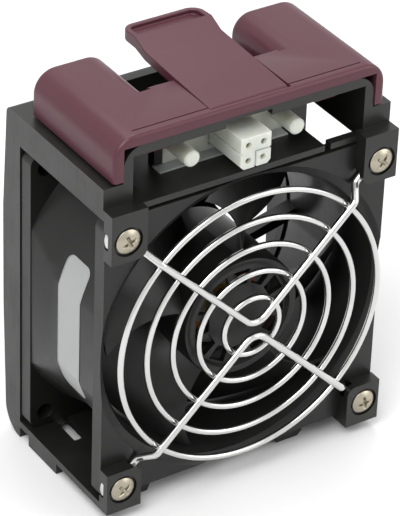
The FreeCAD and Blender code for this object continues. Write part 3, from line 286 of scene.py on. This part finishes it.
def moulded_surface_group() -> bpy.types.NodeTree:
    """Moulded plastic: spark-eroded grain, slow gloss changes, dust and rubbed spots.

    Height is fine noise plus a softer, wider noise; roughness follows the wide
    noise; colour lightens a little where dust settles on faces that look up.

    Returns:
        The node group.
    """
    number, colour = "NodeSocketFloat", "NodeSocketColor"
    tree, sketch, source, sink = new_group("moulded_surface", {
        "Colour": (colour, (0.02, 0.02, 0.02, 1.0)), "Roughness": (number, 0.4),
        "Grain scale": (number, 2200.0), "Grain depth": (number, 0.25),
        "Mottle": (number, 0.08), "Dust": (number, 0.05)},
        {"Colour": colour, "Roughness": number, "Height": number})
    place_on = sketch.add("ShaderNodeTexCoord").outputs["Object"]
    grain = sketch.add("ShaderNodeTexNoise", noise_dimensions="3D")
    grain.inputs["Detail"].default_value = 2.0
    sketch.link(place_on, grain.inputs["Vector"])
    sketch.link(source.outputs["Grain scale"], grain.inputs["Scale"])
    wide = sketch.add("ShaderNodeTexNoise", noise_dimensions="3D")
    wide.inputs["Scale"].default_value = 75.0
    wide.inputs["Detail"].default_value = 5.0
    wide.inputs["Roughness"].default_value = 0.6
    sketch.link(place_on, wide.inputs["Vector"])
    streak_map = sketch.add("ShaderNodeMapping")
    streak_map.inputs["Scale"].default_value = (260.0, 900.0, 120.0)
    sketch.link(place_on, streak_map.inputs["Vector"])
    streak = sketch.add("ShaderNodeTexNoise", noise_dimensions="3D")
    streak.inputs["Scale"].default_value = 1.0
    streak.inputs["Detail"].default_value = 3.0
    sketch.link(streak_map.outputs["Vector"], streak.inputs["Vector"])
    centred = sketch.maths("SUBTRACT", wide.outputs["Fac"], 0.5)
    lines = sketch.maths("SUBTRACT", streak.outputs["Fac"], 0.5)
    mixed = sketch.maths("ADD", centred, sketch.maths("MULTIPLY", lines, 0.5))
    shift = sketch.maths("MULTIPLY", mixed, source.outputs["Mottle"])
    rough = sketch.maths("ADD", source.outputs["Roughness"],
                         sketch.maths("MULTIPLY", shift, 1.6), clamp=True)
    sketch.link(rough, sink.inputs["Roughness"])
    upward = sketch.add("ShaderNodeSeparateXYZ")
    sketch.link(sketch.add("ShaderNodeNewGeometry").outputs["Normal"], upward.inputs[0])
    settled = sketch.maths("MULTIPLY", sketch.maths("MAXIMUM", upward.outputs["Z"], 0.0),
                           sketch.maths("POWER", wide.outputs["Fac"], 2.0))
    dusty = sketch.maths("MULTIPLY", settled, source.outputs["Dust"], clamp=True)
    lift = sketch.maths("ADD", 1.0, shift)
    tone = sketch.add("ShaderNodeVectorMath", operation="SCALE")
    sketch.link(source.outputs["Colour"], tone.inputs[0])
    sketch.link(lift, tone.inputs["Scale"])
    blend = sketch.add("ShaderNodeMix", data_type="RGBA")
    sketch.link(dusty, blend.inputs[MIX_FACTOR])
    sketch.link(tone.outputs["Vector"], blend.inputs[MIX_FIRST])
    blend.inputs[MIX_SECOND].default_value = DUST_COLOUR
    sketch.link(blend.outputs[MIX_RESULT], sink.inputs["Colour"])
    deep = sketch.maths("MULTIPLY", grain.outputs["Fac"], source.outputs["Grain depth"])
    sketch.link(sketch.maths("ADD", deep, sketch.maths("MULTIPLY", centred, 0.15)),
                sink.inputs["Height"])
    return tree


def worked_metal_group() -> bpy.types.NodeTree:
    """Plated or drawn metal: fine draw lines, small pits and slow tarnish.

    Roughness rises in the pits and in tarnished areas; colour darkens there.

    Returns:
        The node group.
    """
    number, colour = "NodeSocketFloat", "NodeSocketColor"
    tree, sketch, source, sink = new_group("worked_metal", {
        "Colour": (colour, (0.6, 0.6, 0.6, 1.0)), "Roughness": (number, 0.2),
        "Scratch scale": (number, 1500.0), "Tarnish": (number, 0.2)},
        {"Colour": colour, "Roughness": number, "Height": number})
    place_on = sketch.add("ShaderNodeTexCoord").outputs["Object"]
    fine = sketch.add("ShaderNodeTexNoise", noise_dimensions="3D")
    fine.inputs["Detail"].default_value = 4.0
    sketch.link(place_on, fine.inputs["Vector"])
    sketch.link(source.outputs["Scratch scale"], fine.inputs["Scale"])
    slow = sketch.add("ShaderNodeTexNoise", noise_dimensions="3D")
    slow.inputs["Scale"].default_value = 180.0
    slow.inputs["Detail"].default_value = 5.0
    sketch.link(place_on, slow.inputs["Vector"])
    stained = sketch.maths("MULTIPLY", slow.outputs["Fac"], source.outputs["Tarnish"])
    darker = sketch.maths("SUBTRACT", 1.0, stained)
    tone = sketch.add("ShaderNodeVectorMath", operation="SCALE")
    sketch.link(source.outputs["Colour"], tone.inputs[0])
    sketch.link(darker, tone.inputs["Scale"])
    sketch.link(tone.outputs["Vector"], sink.inputs["Colour"])
    wear = sketch.maths("MULTIPLY", sketch.maths("SUBTRACT", fine.outputs["Fac"], 0.5), 0.16)
    rough = sketch.maths("ADD", sketch.maths("ADD", source.outputs["Roughness"], wear),
                         sketch.maths("MULTIPLY", stained, 0.35), clamp=True)
    sketch.link(rough, sink.inputs["Roughness"])
    sketch.link(fine.outputs["Fac"], sink.inputs["Height"])
    return tree


GROUPS: Dict[str, bpy.types.NodeTree] = {}


def surface_group(name: str) -> bpy.types.NodeTree:
    """Return a shared node group, building it the first time it is asked for.

    Args:
        name: Which surface, moulded or metal.

    Returns:
        The node group.
    """
    makers = {"moulded": moulded_surface_group, "metal": worked_metal_group}
    if name not in GROUPS:
        GROUPS[name] = makers[name]()
    return GROUPS[name]


def shader_start(name: str) -> Tuple[bpy.types.Material, NodeSketch, bpy.types.Node]:
    """Make a material with an empty Principled BSDF ready to feed.

    Args:
        name: Name of the material.

    Returns:
        The material, a sketch for its nodes and its shader node.
    """
    material = bpy.data.materials.new(name)
    material.use_nodes = True
    sketch = NodeSketch(material.node_tree)
    return material, sketch, material.node_tree.nodes["Principled BSDF"]


@dataclass(frozen=True)
class MouldedFinish:
    """Finish of an injection-moulded plastic part."""

    name: str
    colour: Colour
    roughness: float = 0.38
    grain_scale: float = 2200.0
    grain_depth: float = 0.25
    bump_mm: float = 0.02
    mottle: float = 0.10
    dust: float = 0.04
    coat: float = 0.0
    ior: float = 1.5
    subsurface: float = 0.0
    scatter: Colour = (1.0, 0.9, 0.75)
    scatter_scale: float = 0.0045
    bump_strength: float = 0.6

    def material(self) -> bpy.types.Material:
        """Build the node material of this finish.

        Returns:
            The material.
        """
        material, sketch, shader = shader_start(self.name)
        group = sketch.add("ShaderNodeGroup", node_tree=surface_group("moulded"))
        group.inputs["Colour"].default_value = (*self.colour, 1.0)
        group.inputs["Roughness"].default_value = self.roughness
        group.inputs["Grain scale"].default_value = self.grain_scale
        group.inputs["Grain depth"].default_value = self.grain_depth
        group.inputs["Mottle"].default_value = self.mottle
        group.inputs["Dust"].default_value = self.dust
        sketch.link(group.outputs["Colour"], shader.inputs["Base Color"])
        sketch.link(group.outputs["Roughness"], shader.inputs["Roughness"])
        bump = sketch.add("ShaderNodeBump")
        bump.inputs["Distance"].default_value = self.bump_mm * MM
        bump.inputs["Strength"].default_value = self.bump_strength
        sketch.link(group.outputs["Height"], bump.inputs["Height"])
        sketch.link(bump.outputs["Normal"], shader.inputs["Normal"])
        shader.inputs["IOR"].default_value = self.ior
        shader.inputs["Coat Weight"].default_value = self.coat
        if self.subsurface:
            shader.inputs["Subsurface Weight"].default_value = self.subsurface
            shader.inputs["Subsurface Radius"].default_value = self.scatter
            shader.inputs["Subsurface Scale"].default_value = self.scatter_scale
        return material


@dataclass(frozen=True)
class MetalFinish:
    """Finish of a metal part."""

    name: str
    colour: Colour
    roughness: float = 0.22
    scratch_scale: float = 1500.0
    tarnish: float = 0.2
    bump_mm: float = 0.004

    def material(self) -> bpy.types.Material:
        """Build the node material of this finish.

        Returns:
            The material.
        """
        material, sketch, shader = shader_start(self.name)
        group = sketch.add("ShaderNodeGroup", node_tree=surface_group("metal"))
        group.inputs["Colour"].default_value = (*self.colour, 1.0)
        group.inputs["Roughness"].default_value = self.roughness
        group.inputs["Scratch scale"].default_value = self.scratch_scale
        group.inputs["Tarnish"].default_value = self.tarnish
        sketch.link(group.outputs["Colour"], shader.inputs["Base Color"])
        sketch.link(group.outputs["Roughness"], shader.inputs["Roughness"])
        bump = sketch.add("ShaderNodeBump")
        bump.inputs["Distance"].default_value = self.bump_mm * MM
        sketch.link(group.outputs["Height"], bump.inputs["Height"])
        sketch.link(bump.outputs["Normal"], shader.inputs["Normal"])
        shader.inputs["Metallic"].default_value = 1.0
        return material


class Finish(Enum):
    """Every finish on the module."""

    CARRIER = MouldedFinish("carrier_black", (0.0094, 0.0096, 0.0084), 0.36, 2600.0, 0.30, 0.03,
                            0.25, 0.015, ior=1.46)
    FAN = MouldedFinish("fan_black", (0.0085, 0.0088, 0.0080), 0.36, 1600.0, 0.2, 0.02, 0.15,
                        0.01, ior=1.40)
    BURGUNDY = MouldedFinish("cap_burgundy", (0.081, 0.0215, 0.0325), 0.34, 2400.0, 0.25, 0.02,
                             0.05, 0.02, ior=1.40)
    NYLON = MouldedFinish("natural_nylon", (0.60, 0.62, 0.555), 0.36, 1800.0, 0.15, 0.01, 0.06,
                          0.0, subsurface=0.9)
    INSULATOR = MouldedFinish("insulator_plastic", (0.42, 0.36, 0.26), 0.5)
    MAGNET = MouldedFinish("bonded_magnet", (0.045, 0.045, 0.05), 0.7, 900.0, 0.5, 0.05)
    BOARD = MouldedFinish("board_green", (0.02, 0.11, 0.045), 0.35)
    LABEL = MouldedFinish("label_paper", (0.36, 0.37, 0.365), 0.42, 3000.0, 0.3, 0.01, 0.05, 0.0)
    GUARD = MetalFinish("guard_plating", (0.65, 0.65, 0.64), 0.13, 900.0, 0.12)
    SCREW = MetalFinish("screw_plating", (0.46, 0.42, 0.33), 0.30, 1400.0, 0.30)
    SHAFT = MetalFinish("ground_steel", (0.62, 0.62, 0.63), 0.2)
    YOKE = MetalFinish("yoke_steel", (0.40, 0.40, 0.42), 0.35)
    CORE = MetalFinish("lamination_steel", (0.30, 0.30, 0.32), 0.45)
    BRASS = MetalFinish("turned_brass", (0.68, 0.50, 0.22), 0.25)
    COPPER = MetalFinish("coil_copper", (0.75, 0.28, 0.12), 0.3, 2600.0, 0.35, 0.02)
    CONTACT = MetalFinish("tinned_contact", (0.62, 0.58, 0.48), 0.3)


FINISHES: Dict[Finish, bpy.types.Material] = {}


def finish(kind: Finish) -> bpy.types.Material:
    """Return a finish's material, building it the first time it is asked for.

    Args:
        kind: Which finish.

    Returns:
        The material.
    """
    if kind not in FINISHES:
        FINISHES[kind] = kind.value.material()
    return FINISHES[kind]


# ------------------------------------------------------------ sub-assemblies


@dataclass
class MouldedParts:
    """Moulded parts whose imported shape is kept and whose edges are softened."""

    edge_mm: float = 0.22
    cap_edge_mm: float = 0.18
    lever_edge_mm: float = 0.35
    fan_edge_mm: float = 0.2
    blade_edge_mm: float = 0.0
    plug_edge_mm: float = 0.12
    bracket_edge_mm: float = 0.15
    parked_deg: float = 60.0

    def build(self) -> None:
        """Dress the carrier, the handle cap, the lever and the fan frame."""
        plan = (
            ("carrier", "carrier_moulding", Finish.CARRIER, "black_plastic",
             Body.MODULE, self.edge_mm),
            ("handle_cap", "handle_cap_cover", Finish.BURGUNDY, "burgundy_plastic",
             Body.MODULE, self.cap_edge_mm),
            ("release_lever", "release_lever_tongue", Finish.BURGUNDY, "burgundy_plastic",
             Body.LEVER, self.lever_edge_mm),
            ("fan_housing", "fan_frame", Finish.FAN, "fan_plastic",
             Body.MODULE, self.fan_edge_mm),
            ("impeller", "fan_impeller", Finish.FAN, "fan_plastic",
             Body.ROTOR, self.blade_edge_mm),
            ("connector_housing", "plug_housing", Finish.NYLON, "white_nylon",
             Body.MODULE, self.plug_edge_mm),
            ("connector_bracket", "plug_bracket", Finish.NYLON, "white_nylon",
             Body.MODULE, self.bracket_edge_mm),
        )
        for node, name, look, slot, body, edge in plan:
            piece = tidy_copy(node, name, bevel_mm=edge)
            if body is Body.ROTOR:
                self.park_rotor(piece)
            dress(piece, finish(look), body)

    def park_rotor(self, piece: bpy.types.Object) -> None:
        """Turn the impeller's copy about the shaft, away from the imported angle.

        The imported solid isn't turned, so the two differ by parked_deg.

        Args:
            piece: The copy of the impeller.
        """
        count = len(piece.data.vertices)
        points = np.empty(count * 3)
        piece.data.vertices.foreach_get("co", points)
        low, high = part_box("fan_housing")
        turned = turned_about_axis(points.reshape(count, 3), self.parked_deg,
                                   (low.z + high.z) / 2.0)
        piece.data.vertices.foreach_set("co", turned.ravel())
        piece.data.update()


@dataclass
class FingerGuard:
    """Concentric wire rings behind two V wires that end in eyelets."""

    ring_wire: float = 0.8
    ring_steps: int = 160
    wire_sides: int = 16
    first_ring: float = 7.9
    ring_pitch: float = 7.3
    ring_count: int = 5
    eyelet_crease_deg: float = 60.0

    def rings(self) -> bpy.types.Object:
        """Rings: a small circle carried round each big circle in one flat plane.

        Returns:
            All rings as one piece.
        """
        low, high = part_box("guard_rings")
        y = (low.y + high.y) / 2.0
        axis_z = (low.z + high.z) / 2.0
        meshes = []
        turn = np.linspace(0.0, FULL_TURN, self.ring_steps, endpoint=False)
        small = np.linspace(0.0, FULL_TURN, self.wire_sides, endpoint=False)
        for k in range(self.ring_count):
            radius = (self.first_ring + self.ring_pitch * k) * MM
            reach = radius + self.ring_wire * MM * np.cos(small)
            points = np.stack([
                np.outer(np.cos(turn), reach),
                np.broadcast_to(y + self.ring_wire * MM * np.sin(small),
                                (len(turn), self.wire_sides)),
                axis_z + np.outer(np.sin(turn), reach)], axis=-1)
            meshes.append(grid_mesh("ring", points, True, True))
        return merge(meshes, "guard_wire_rings")

    def build(self) -> None:
        """Make the rings and dress the V wires."""
        rings = self.rings()
        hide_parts("guard_rings")
        dress(rings, finish(Finish.GUARD), Body.MODULE)
        for node, name in (("guard_upper_wire", "upper_guard_wire"),
                           ("guard_lower_wire", "lower_guard_wire")):
            piece = tidy_copy(node, name, crease_deg=self.eyelet_crease_deg)
            dress(piece, finish(Finish.GUARD), Body.MODULE)


def merge(meshes: Sequence[bpy.types.Mesh], name: str) -> bpy.types.Object:
    """Join several meshes into one placed object with outward faces.

    Args:
        meshes: The meshes, which are used up.
        name: Name of the new object.

    Returns:
        The joined object.
    """
    work = bmesh.new()
    for mesh in meshes:
        work.from_mesh(mesh)
        bpy.data.meshes.remove(mesh)
    bmesh.ops.recalc_face_normals(work, faces=work.faces)
    for face in work.faces:
        face.smooth = True
    joined = bpy.data.meshes.new(name)
    work.to_mesh(joined)
    work.free()
    return place(joined, name)


@dataclass
class GuardScrews:
    """Four pan-head screws with cross recesses and rolled threads."""

    head_r: float = 3.25
    head_height: float = 1.7
    edge_height: float = 0.75
    shank_r: float = 2.0
    thread_pitch: float = 0.7
    thread_depth: float = 0.28
    arm_length: float = 1.95
    arm_width: float = 0.92
    recess_depth: float = 1.15
    arm_taper: float = 0.28
    arm_slope: float = 0.75
    arm_fall: float = 0.7
    wall_half: float = 0.07
    dome_power: float = 2.6
    rim_round: float = 0.12
    rim_power: float = 8.0
    rim_start: float = 0.8
    rim_steps: Tuple[float, ...] = (0.75, 0.4, 0.0)
    turns_deg: Tuple[float, ...] = (20.0, 52.0, 38.0, 8.0)

    def recess(self, across: np.ndarray, along: np.ndarray) -> np.ndarray:
        """Depth of the cross recess: two tapering arms that deepen to the middle.

        Each arm is as deep as its share of the way in from its end, and fades
        out over a narrow wall on either side.

        Args:
            across: Distance from the middle along one arm, in mm.
            along: Distance from the middle along the other arm, in mm.

        Returns:
            The depth at each point, in mm.
        """
        deepest = np.zeros_like(across)
        for u, v in ((across, along), (along, across)):
            half = 0.5 * self.arm_width * (1.0 - self.arm_taper * np.abs(u) / self.arm_length)
            wall = np.clip((half + self.wall_half - np.abs(v)) / (2.0 * self.wall_half),
                           0.0, 1.0)
            reach = np.clip((self.arm_length - np.abs(u)) / (self.arm_slope * self.arm_length),
                            0.0, 1.0)
            deepest = np.maximum(deepest, wall * reach ** self.arm_fall)
        return deepest * self.recess_depth

    def head(self, turn_deg: float) -> np.ndarray:
        """Pan head: a low dome that falls to a rounded rim, less the recess.

        Height over the rim is (1 - (r / R) ** power) of the crown, and the last
        rows run down the rim's side.

        Args:
            turn_deg: How far the cross is turned.

        Returns:
            Grid of points in mm, from the middle out and down.
        """
        share = np.linspace(0.001, 1.0, 44)
        angle = np.linspace(0.0, FULL_TURN, 144, endpoint=False)
        crown = self.head_height - self.edge_height
        r = np.concatenate([share * self.head_r, np.full(len(self.rim_steps), self.head_r)])
        up = np.concatenate([self.edge_height + crown * (1.0 - share ** self.dome_power),
                             self.edge_height * np.array(self.rim_steps)])
        near_rim = np.clip((up - self.rim_start * self.edge_height) / self.edge_height, 0.0, 1.0)
        r = r - self.rim_round * near_rim * (r / self.head_r) ** self.rim_power
        x = np.outer(r, np.cos(angle))
        z = np.outer(r, np.sin(angle))
        turn = math.radians(turn_deg)
        sunk = self.recess(x * math.cos(turn) + z * math.sin(turn),
                           z * math.cos(turn) - x * math.sin(turn))
        return np.stack([x, sunk - up[:, None], z], axis=-1)

    def shank(self, length: float) -> np.ndarray:
        """Thread: the radius falls and rises once a turn as it goes along.

        Args:
            length: Length of the shank in mm.

        Returns:
            Grid of points in mm, from the head to the tip.
        """
        along = np.linspace(0.0, length, 110)
        angle = np.linspace(0.0, FULL_TURN, 28, endpoint=False)
        phase = along[:, None] / self.thread_pitch - angle[None, :] / FULL_TURN
        wave = np.abs((phase % 1.0) * 2.0 - 1.0)
        taper = np.clip((length - along) / 1.0, 0.55, 1.0)[:, None]
        r = (self.shank_r - self.thread_depth * wave) * taper
        return np.stack([r * np.cos(angle), np.broadcast_to(along[:, None], r.shape),
                         r * np.sin(angle)], axis=-1)

    def build(self) -> None:
        """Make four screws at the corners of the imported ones."""
        low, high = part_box("guard_screws")
        half = high.x / MM - self.head_r
        mid_z = (low.z + high.z) / 2.0
        seat = low.y / MM + self.head_height
        length = high.y / MM - seat
        meshes = []
        corners = ((-1, 1), (1, 1), (-1, -1), (1, -1))
        for (sx, sz), turn_deg in zip(corners, self.turns_deg):
            spot = np.array([sx * half, seat, sz * half])
            for points in (self.head(turn_deg), self.shank(length)):
                moved = (points + spot) * MM + np.array([0.0, 0.0, mid_z])
                meshes.append(grid_mesh("screw", moved, False, True, caps=True))
        screws = merge(meshes, "cross_head_screws")
        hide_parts("guard_screws")
        dress(screws, finish(Finish.SCREW), Body.MODULE)


@dataclass
class Windings:
    """Six coils of enamelled wire, each wound round one stator tooth."""

    coil_count: int = 6
    wire_r: float = 0.2
    first_radius: float = 7.8
    turns: int = 4
    turn_gap: float = 2.05
    loop_steps: int = 40
    wire_sides: int = 7
    squareness: float = 0.45
    layers: Tuple[Tuple[float, float], ...] = ((2.2, 7.4), (2.62, 8.0), (2.95, 8.6))

    def loop(self, radial: float, half_width: float, half_length: float) -> np.ndarray:
        """One turn of wire: a rounded rectangle, a power of the circle's sine and cosine.

        Args:
            radial: Height of the turn along its tooth, in mm.
            half_width: Half of its width round the stator, in mm.
            half_length: Half of its length along the shaft, in mm.

        Returns:
            Grid of points in mm.
        """
        angle = np.linspace(0.0, FULL_TURN, self.loop_steps, endpoint=False)
        x = half_width * np.sign(np.cos(angle)) * np.abs(np.cos(angle)) ** self.squareness
        y = half_length * np.sign(np.sin(angle)) * np.abs(np.sin(angle)) ** self.squareness
        around = np.linspace(0.0, FULL_TURN, self.wire_sides, endpoint=False)
        swell = 1.0 + self.wire_r * np.cos(around)[None, :] / half_width
        stretch = 1.0 + self.wire_r * np.cos(around)[None, :] / half_length
        rise = np.broadcast_to(self.wire_r * np.sin(around), (self.loop_steps, self.wire_sides))
        return np.stack([x[:, None] * swell, y[:, None] * stretch, radial + rise], axis=-1)

    def build(self) -> None:
        """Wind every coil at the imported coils' place."""
        low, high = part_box("stator_windings")
        middle = (low + high) / 2.0
        meshes = []
        for coil in range(self.coil_count):
            for turn in range(self.turns):
                radial = self.first_radius + turn * self.wire_r * self.turn_gap
                for half_width, half_length in self.layers:
                    points = self.loop(radial, half_width, half_length) * MM
                    points = points + np.array([0.0, middle.y, middle.z])
                    points = turned_about_axis(points, 360.0 * coil / self.coil_count, middle.z)
                    meshes.append(grid_mesh("turn", points, True, True))
        coils = merge(meshes, "coil_windings")
        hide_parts("stator_windings")
        dress(coils, finish(Finish.COPPER), Body.MODULE)


@dataclass
class Label:
    """Bare paper label wrapped on the flattened side of the fan's barrel."""

    barrel_r: float = 41.2
    flat_at: float = 39.7
    corner: float = 2.2
    thickness: float = 0.10
    lift: float = 0.02

    def build(self) -> None:
        """Lay the label: rows follow the barrel, and narrow round each corner.

        The barrel's side at height z is the nearer of the flat and the circle;
        a row within a corner's radius of an end is shorter by that corner's arc.
        """
        low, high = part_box("fan_label")
        axis_z = sum(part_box("fan_housing")[k].z for k in (0, 1)) / 2.0
        height = (high.z - low.z) / MM
        half_width = (high.y - low.y) / MM / 2.0
        up = 0.5 * height * (1.0 - np.cos(np.linspace(0.0, math.pi, 90)))
        inset = np.clip(self.corner - np.minimum(up, height - up), 0.0, self.corner)
        half = half_width - (self.corner - np.sqrt(self.corner ** 2 - inset ** 2))
        z = up + (low.z - axis_z) / MM
        reach = np.minimum(self.flat_at, np.sqrt(self.barrel_r ** 2 - z ** 2)) + self.lift
        across = np.linspace(-1.0, 1.0, 14)
        y = (low.y + high.y) / 2.0 / MM + half[:, None] * across[None, :]
        points = np.stack([np.broadcast_to(-reach[:, None], y.shape), y,
                           np.broadcast_to(z[:, None], y.shape)], axis=-1) * MM
        points = points + np.array([0.0, 0.0, axis_z])
        label = place(grid_mesh("bare_label", points, False, False), "bare_label")
        shell = label.modifiers.new("paper", "SOLIDIFY")
        shell.thickness = self.thickness * MM
        shell.offset = 1.0
        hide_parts("fan_label")
        dress(label, finish(Finish.LABEL), Body.MODULE)


class PlainParts:
    """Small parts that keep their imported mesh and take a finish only."""

    PLAN: Tuple[Tuple[str, Finish], ...] = (
        ("rotor_shaft", Finish.SHAFT),
        ("shaft_clip", Finish.SHAFT), ("front_bearing", Finish.SHAFT),
        ("rear_bearing", Finish.SHAFT), ("bearing_sleeve", Finish.BRASS),
        ("rotor_yoke", Finish.YOKE), ("rotor_magnet", Finish.MAGNET),
        ("stator_core", Finish.CORE), ("stator_insulator", Finish.INSULATOR),
        ("motor_circuit_board", Finish.BOARD), ("connector_contacts", Finish.CONTACT))

    def build(self) -> None:
        """Set each node's material."""
        for node, look in self.PLAN:
            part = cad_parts[node]
            part.data.materials.clear()
            part.data.materials.append(finish(look))


# ------------------------------------------------------------------ studio


@dataclass
class Studio:
    """Plain pale floor, soft lamps and the camera."""

    azimuth: float = -34.06
    elevation: float = 33.24
    roll: float = 2.20
    distance: float = 0.71713
    light_strength: float = 0.45
    floor_reach: float = 3.0
    floor_height: float = -0.0002
    floor_sides: int = 96
    focal_px: float = 3059.1
    frame_px: Tuple[int, int] = (400, 516)
    target: Tuple[float, float, float] = (-0.01586, -0.02385, 0.06986)

    def camera(self) -> None:
        """Place the camera: back along its axis from the target, then rolled."""
        a, e, r = (math.radians(v) for v in (self.azimuth, self.elevation, self.roll))
        back = Vector((math.sin(a) * math.cos(e), -math.cos(a) * math.cos(e), math.sin(e)))
        right = Vector((math.cos(a), math.sin(a), 0.0))
        up = back.cross(right)
        across = right * math.cos(r) + up * math.sin(r)
        above = up * math.cos(r) - right * math.sin(r)
        data = bpy.data.cameras.new("camera")
        data.lens = self.focal_px / max(self.frame_px) * data.sensor_width
        data.clip_start = 0.05
        data.clip_end = 20.0
        camera = bpy.data.objects.new("camera", data)
        turn = Matrix((across, above, back)).transposed().to_4x4()
        camera.matrix_world = Matrix.Translation(Vector(self.target) + back * self.distance) @ turn
        bpy.context.scene.collection.objects.link(camera)
        bpy.context.scene.camera = camera

    def floor(self) -> None:
        """Wide floor disc that shows pale to the eye and keeps the shadow."""
        angle = np.linspace(0.0, FULL_TURN, self.floor_sides, endpoint=False)
        reach = np.array([0.0001, self.floor_reach])
        points = np.stack([np.outer(reach, np.cos(angle)), np.outer(reach, np.sin(angle)),
                           np.full((2, self.floor_sides), self.floor_height)], axis=-1)
        floor = place(grid_mesh("floor", points[::-1], False, True), "floor")
        material, _, shader = shader_start("floor_pale")
        shader.inputs["Base Color"].default_value = (0.90, 0.90, 0.90, 1.0)
        shader.inputs["Roughness"].default_value = 0.9
        shader.inputs["Specular IOR Level"].default_value = 0.1
        floor.data.materials.append(material)

    def lamp(self, name: str, location: Tuple[float, float, float], size: float,
             power: float) -> None:
        """Hang one square soft lamp that faces the module.

        Args:
            name: Name of the lamp.
            location: Its place in metres.
            size: Its side in metres.
            power: Its power in watts.
        """
        data = bpy.data.lights.new(name, "AREA")
        data.size = size
        data.energy = power
        lamp = bpy.data.objects.new(name, data)
        lamp.location = location
        aim = Vector((0.0, 0.0, 0.05)) - Vector(location)
        lamp.rotation_mode = "QUATERNION"
        lamp.rotation_quaternion = aim.to_track_quat("-Z", "Y")
        bpy.context.scene.collection.objects.link(lamp)

    def world(self) -> None:
        """White surroundings: full strength to the eye, softer as a light."""
        world = bpy.data.worlds.new("studio")
        bpy.context.scene.world = world
        world.use_nodes = True
        sketch = NodeSketch(world.node_tree)
        shown = sketch.add("ShaderNodeBackground")
        shown.inputs["Color"].default_value = (1.0, 1.0, 1.0, 1.0)
        lit = world.node_tree.nodes["Background"]
        lit.inputs["Color"].default_value = (1.0, 1.0, 1.0, 1.0)
        lit.inputs["Strength"].default_value = self.light_strength
        rays = sketch.add("ShaderNodeLightPath")
        mirrored = sketch.maths("ADD", rays.outputs["Is Glossy Ray"],
                                rays.outputs["Is Transmission Ray"], clamp=True)
        seen = sketch.maths("ADD", rays.outputs["Is Camera Ray"], mirrored, clamp=True)
        mix = sketch.add("ShaderNodeMixShader")
        sketch.link(seen, mix.inputs[0])
        sketch.link(lit.outputs[0], mix.inputs[1])
        sketch.link(shown.outputs[0], mix.inputs[2])
        sketch.link(mix.outputs[0], world.node_tree.nodes["World Output"].inputs["Surface"])

    def build(self) -> None:
        """Set up everything round the module."""
        scene = bpy.context.scene
        scene.view_settings.view_transform = "Standard"
        self.camera()
        self.floor()
        self.lamp("key_lamp", (-0.55, -0.35, 0.95), 0.7, 9.0)
        self.lamp("fill_lamp", (0.75, -0.65, 0.55), 0.8, 4.5)
        self.lamp("top_lamp", (0.1, 0.35, 1.0), 0.7, 4.5)
        self.world()


def main() -> None:
    """Build every sub-assembly in order and report each piece."""
    logging.basicConfig(level=logging.INFO, format="%(name)s %(message)s")
    Studio().build()
    MouldedParts().build()
    FingerGuard().build()
    GuardScrews().build()
    Windings().build()
    Label().build()
    PlainParts().build()


if __name__ == "__main__":
    main()
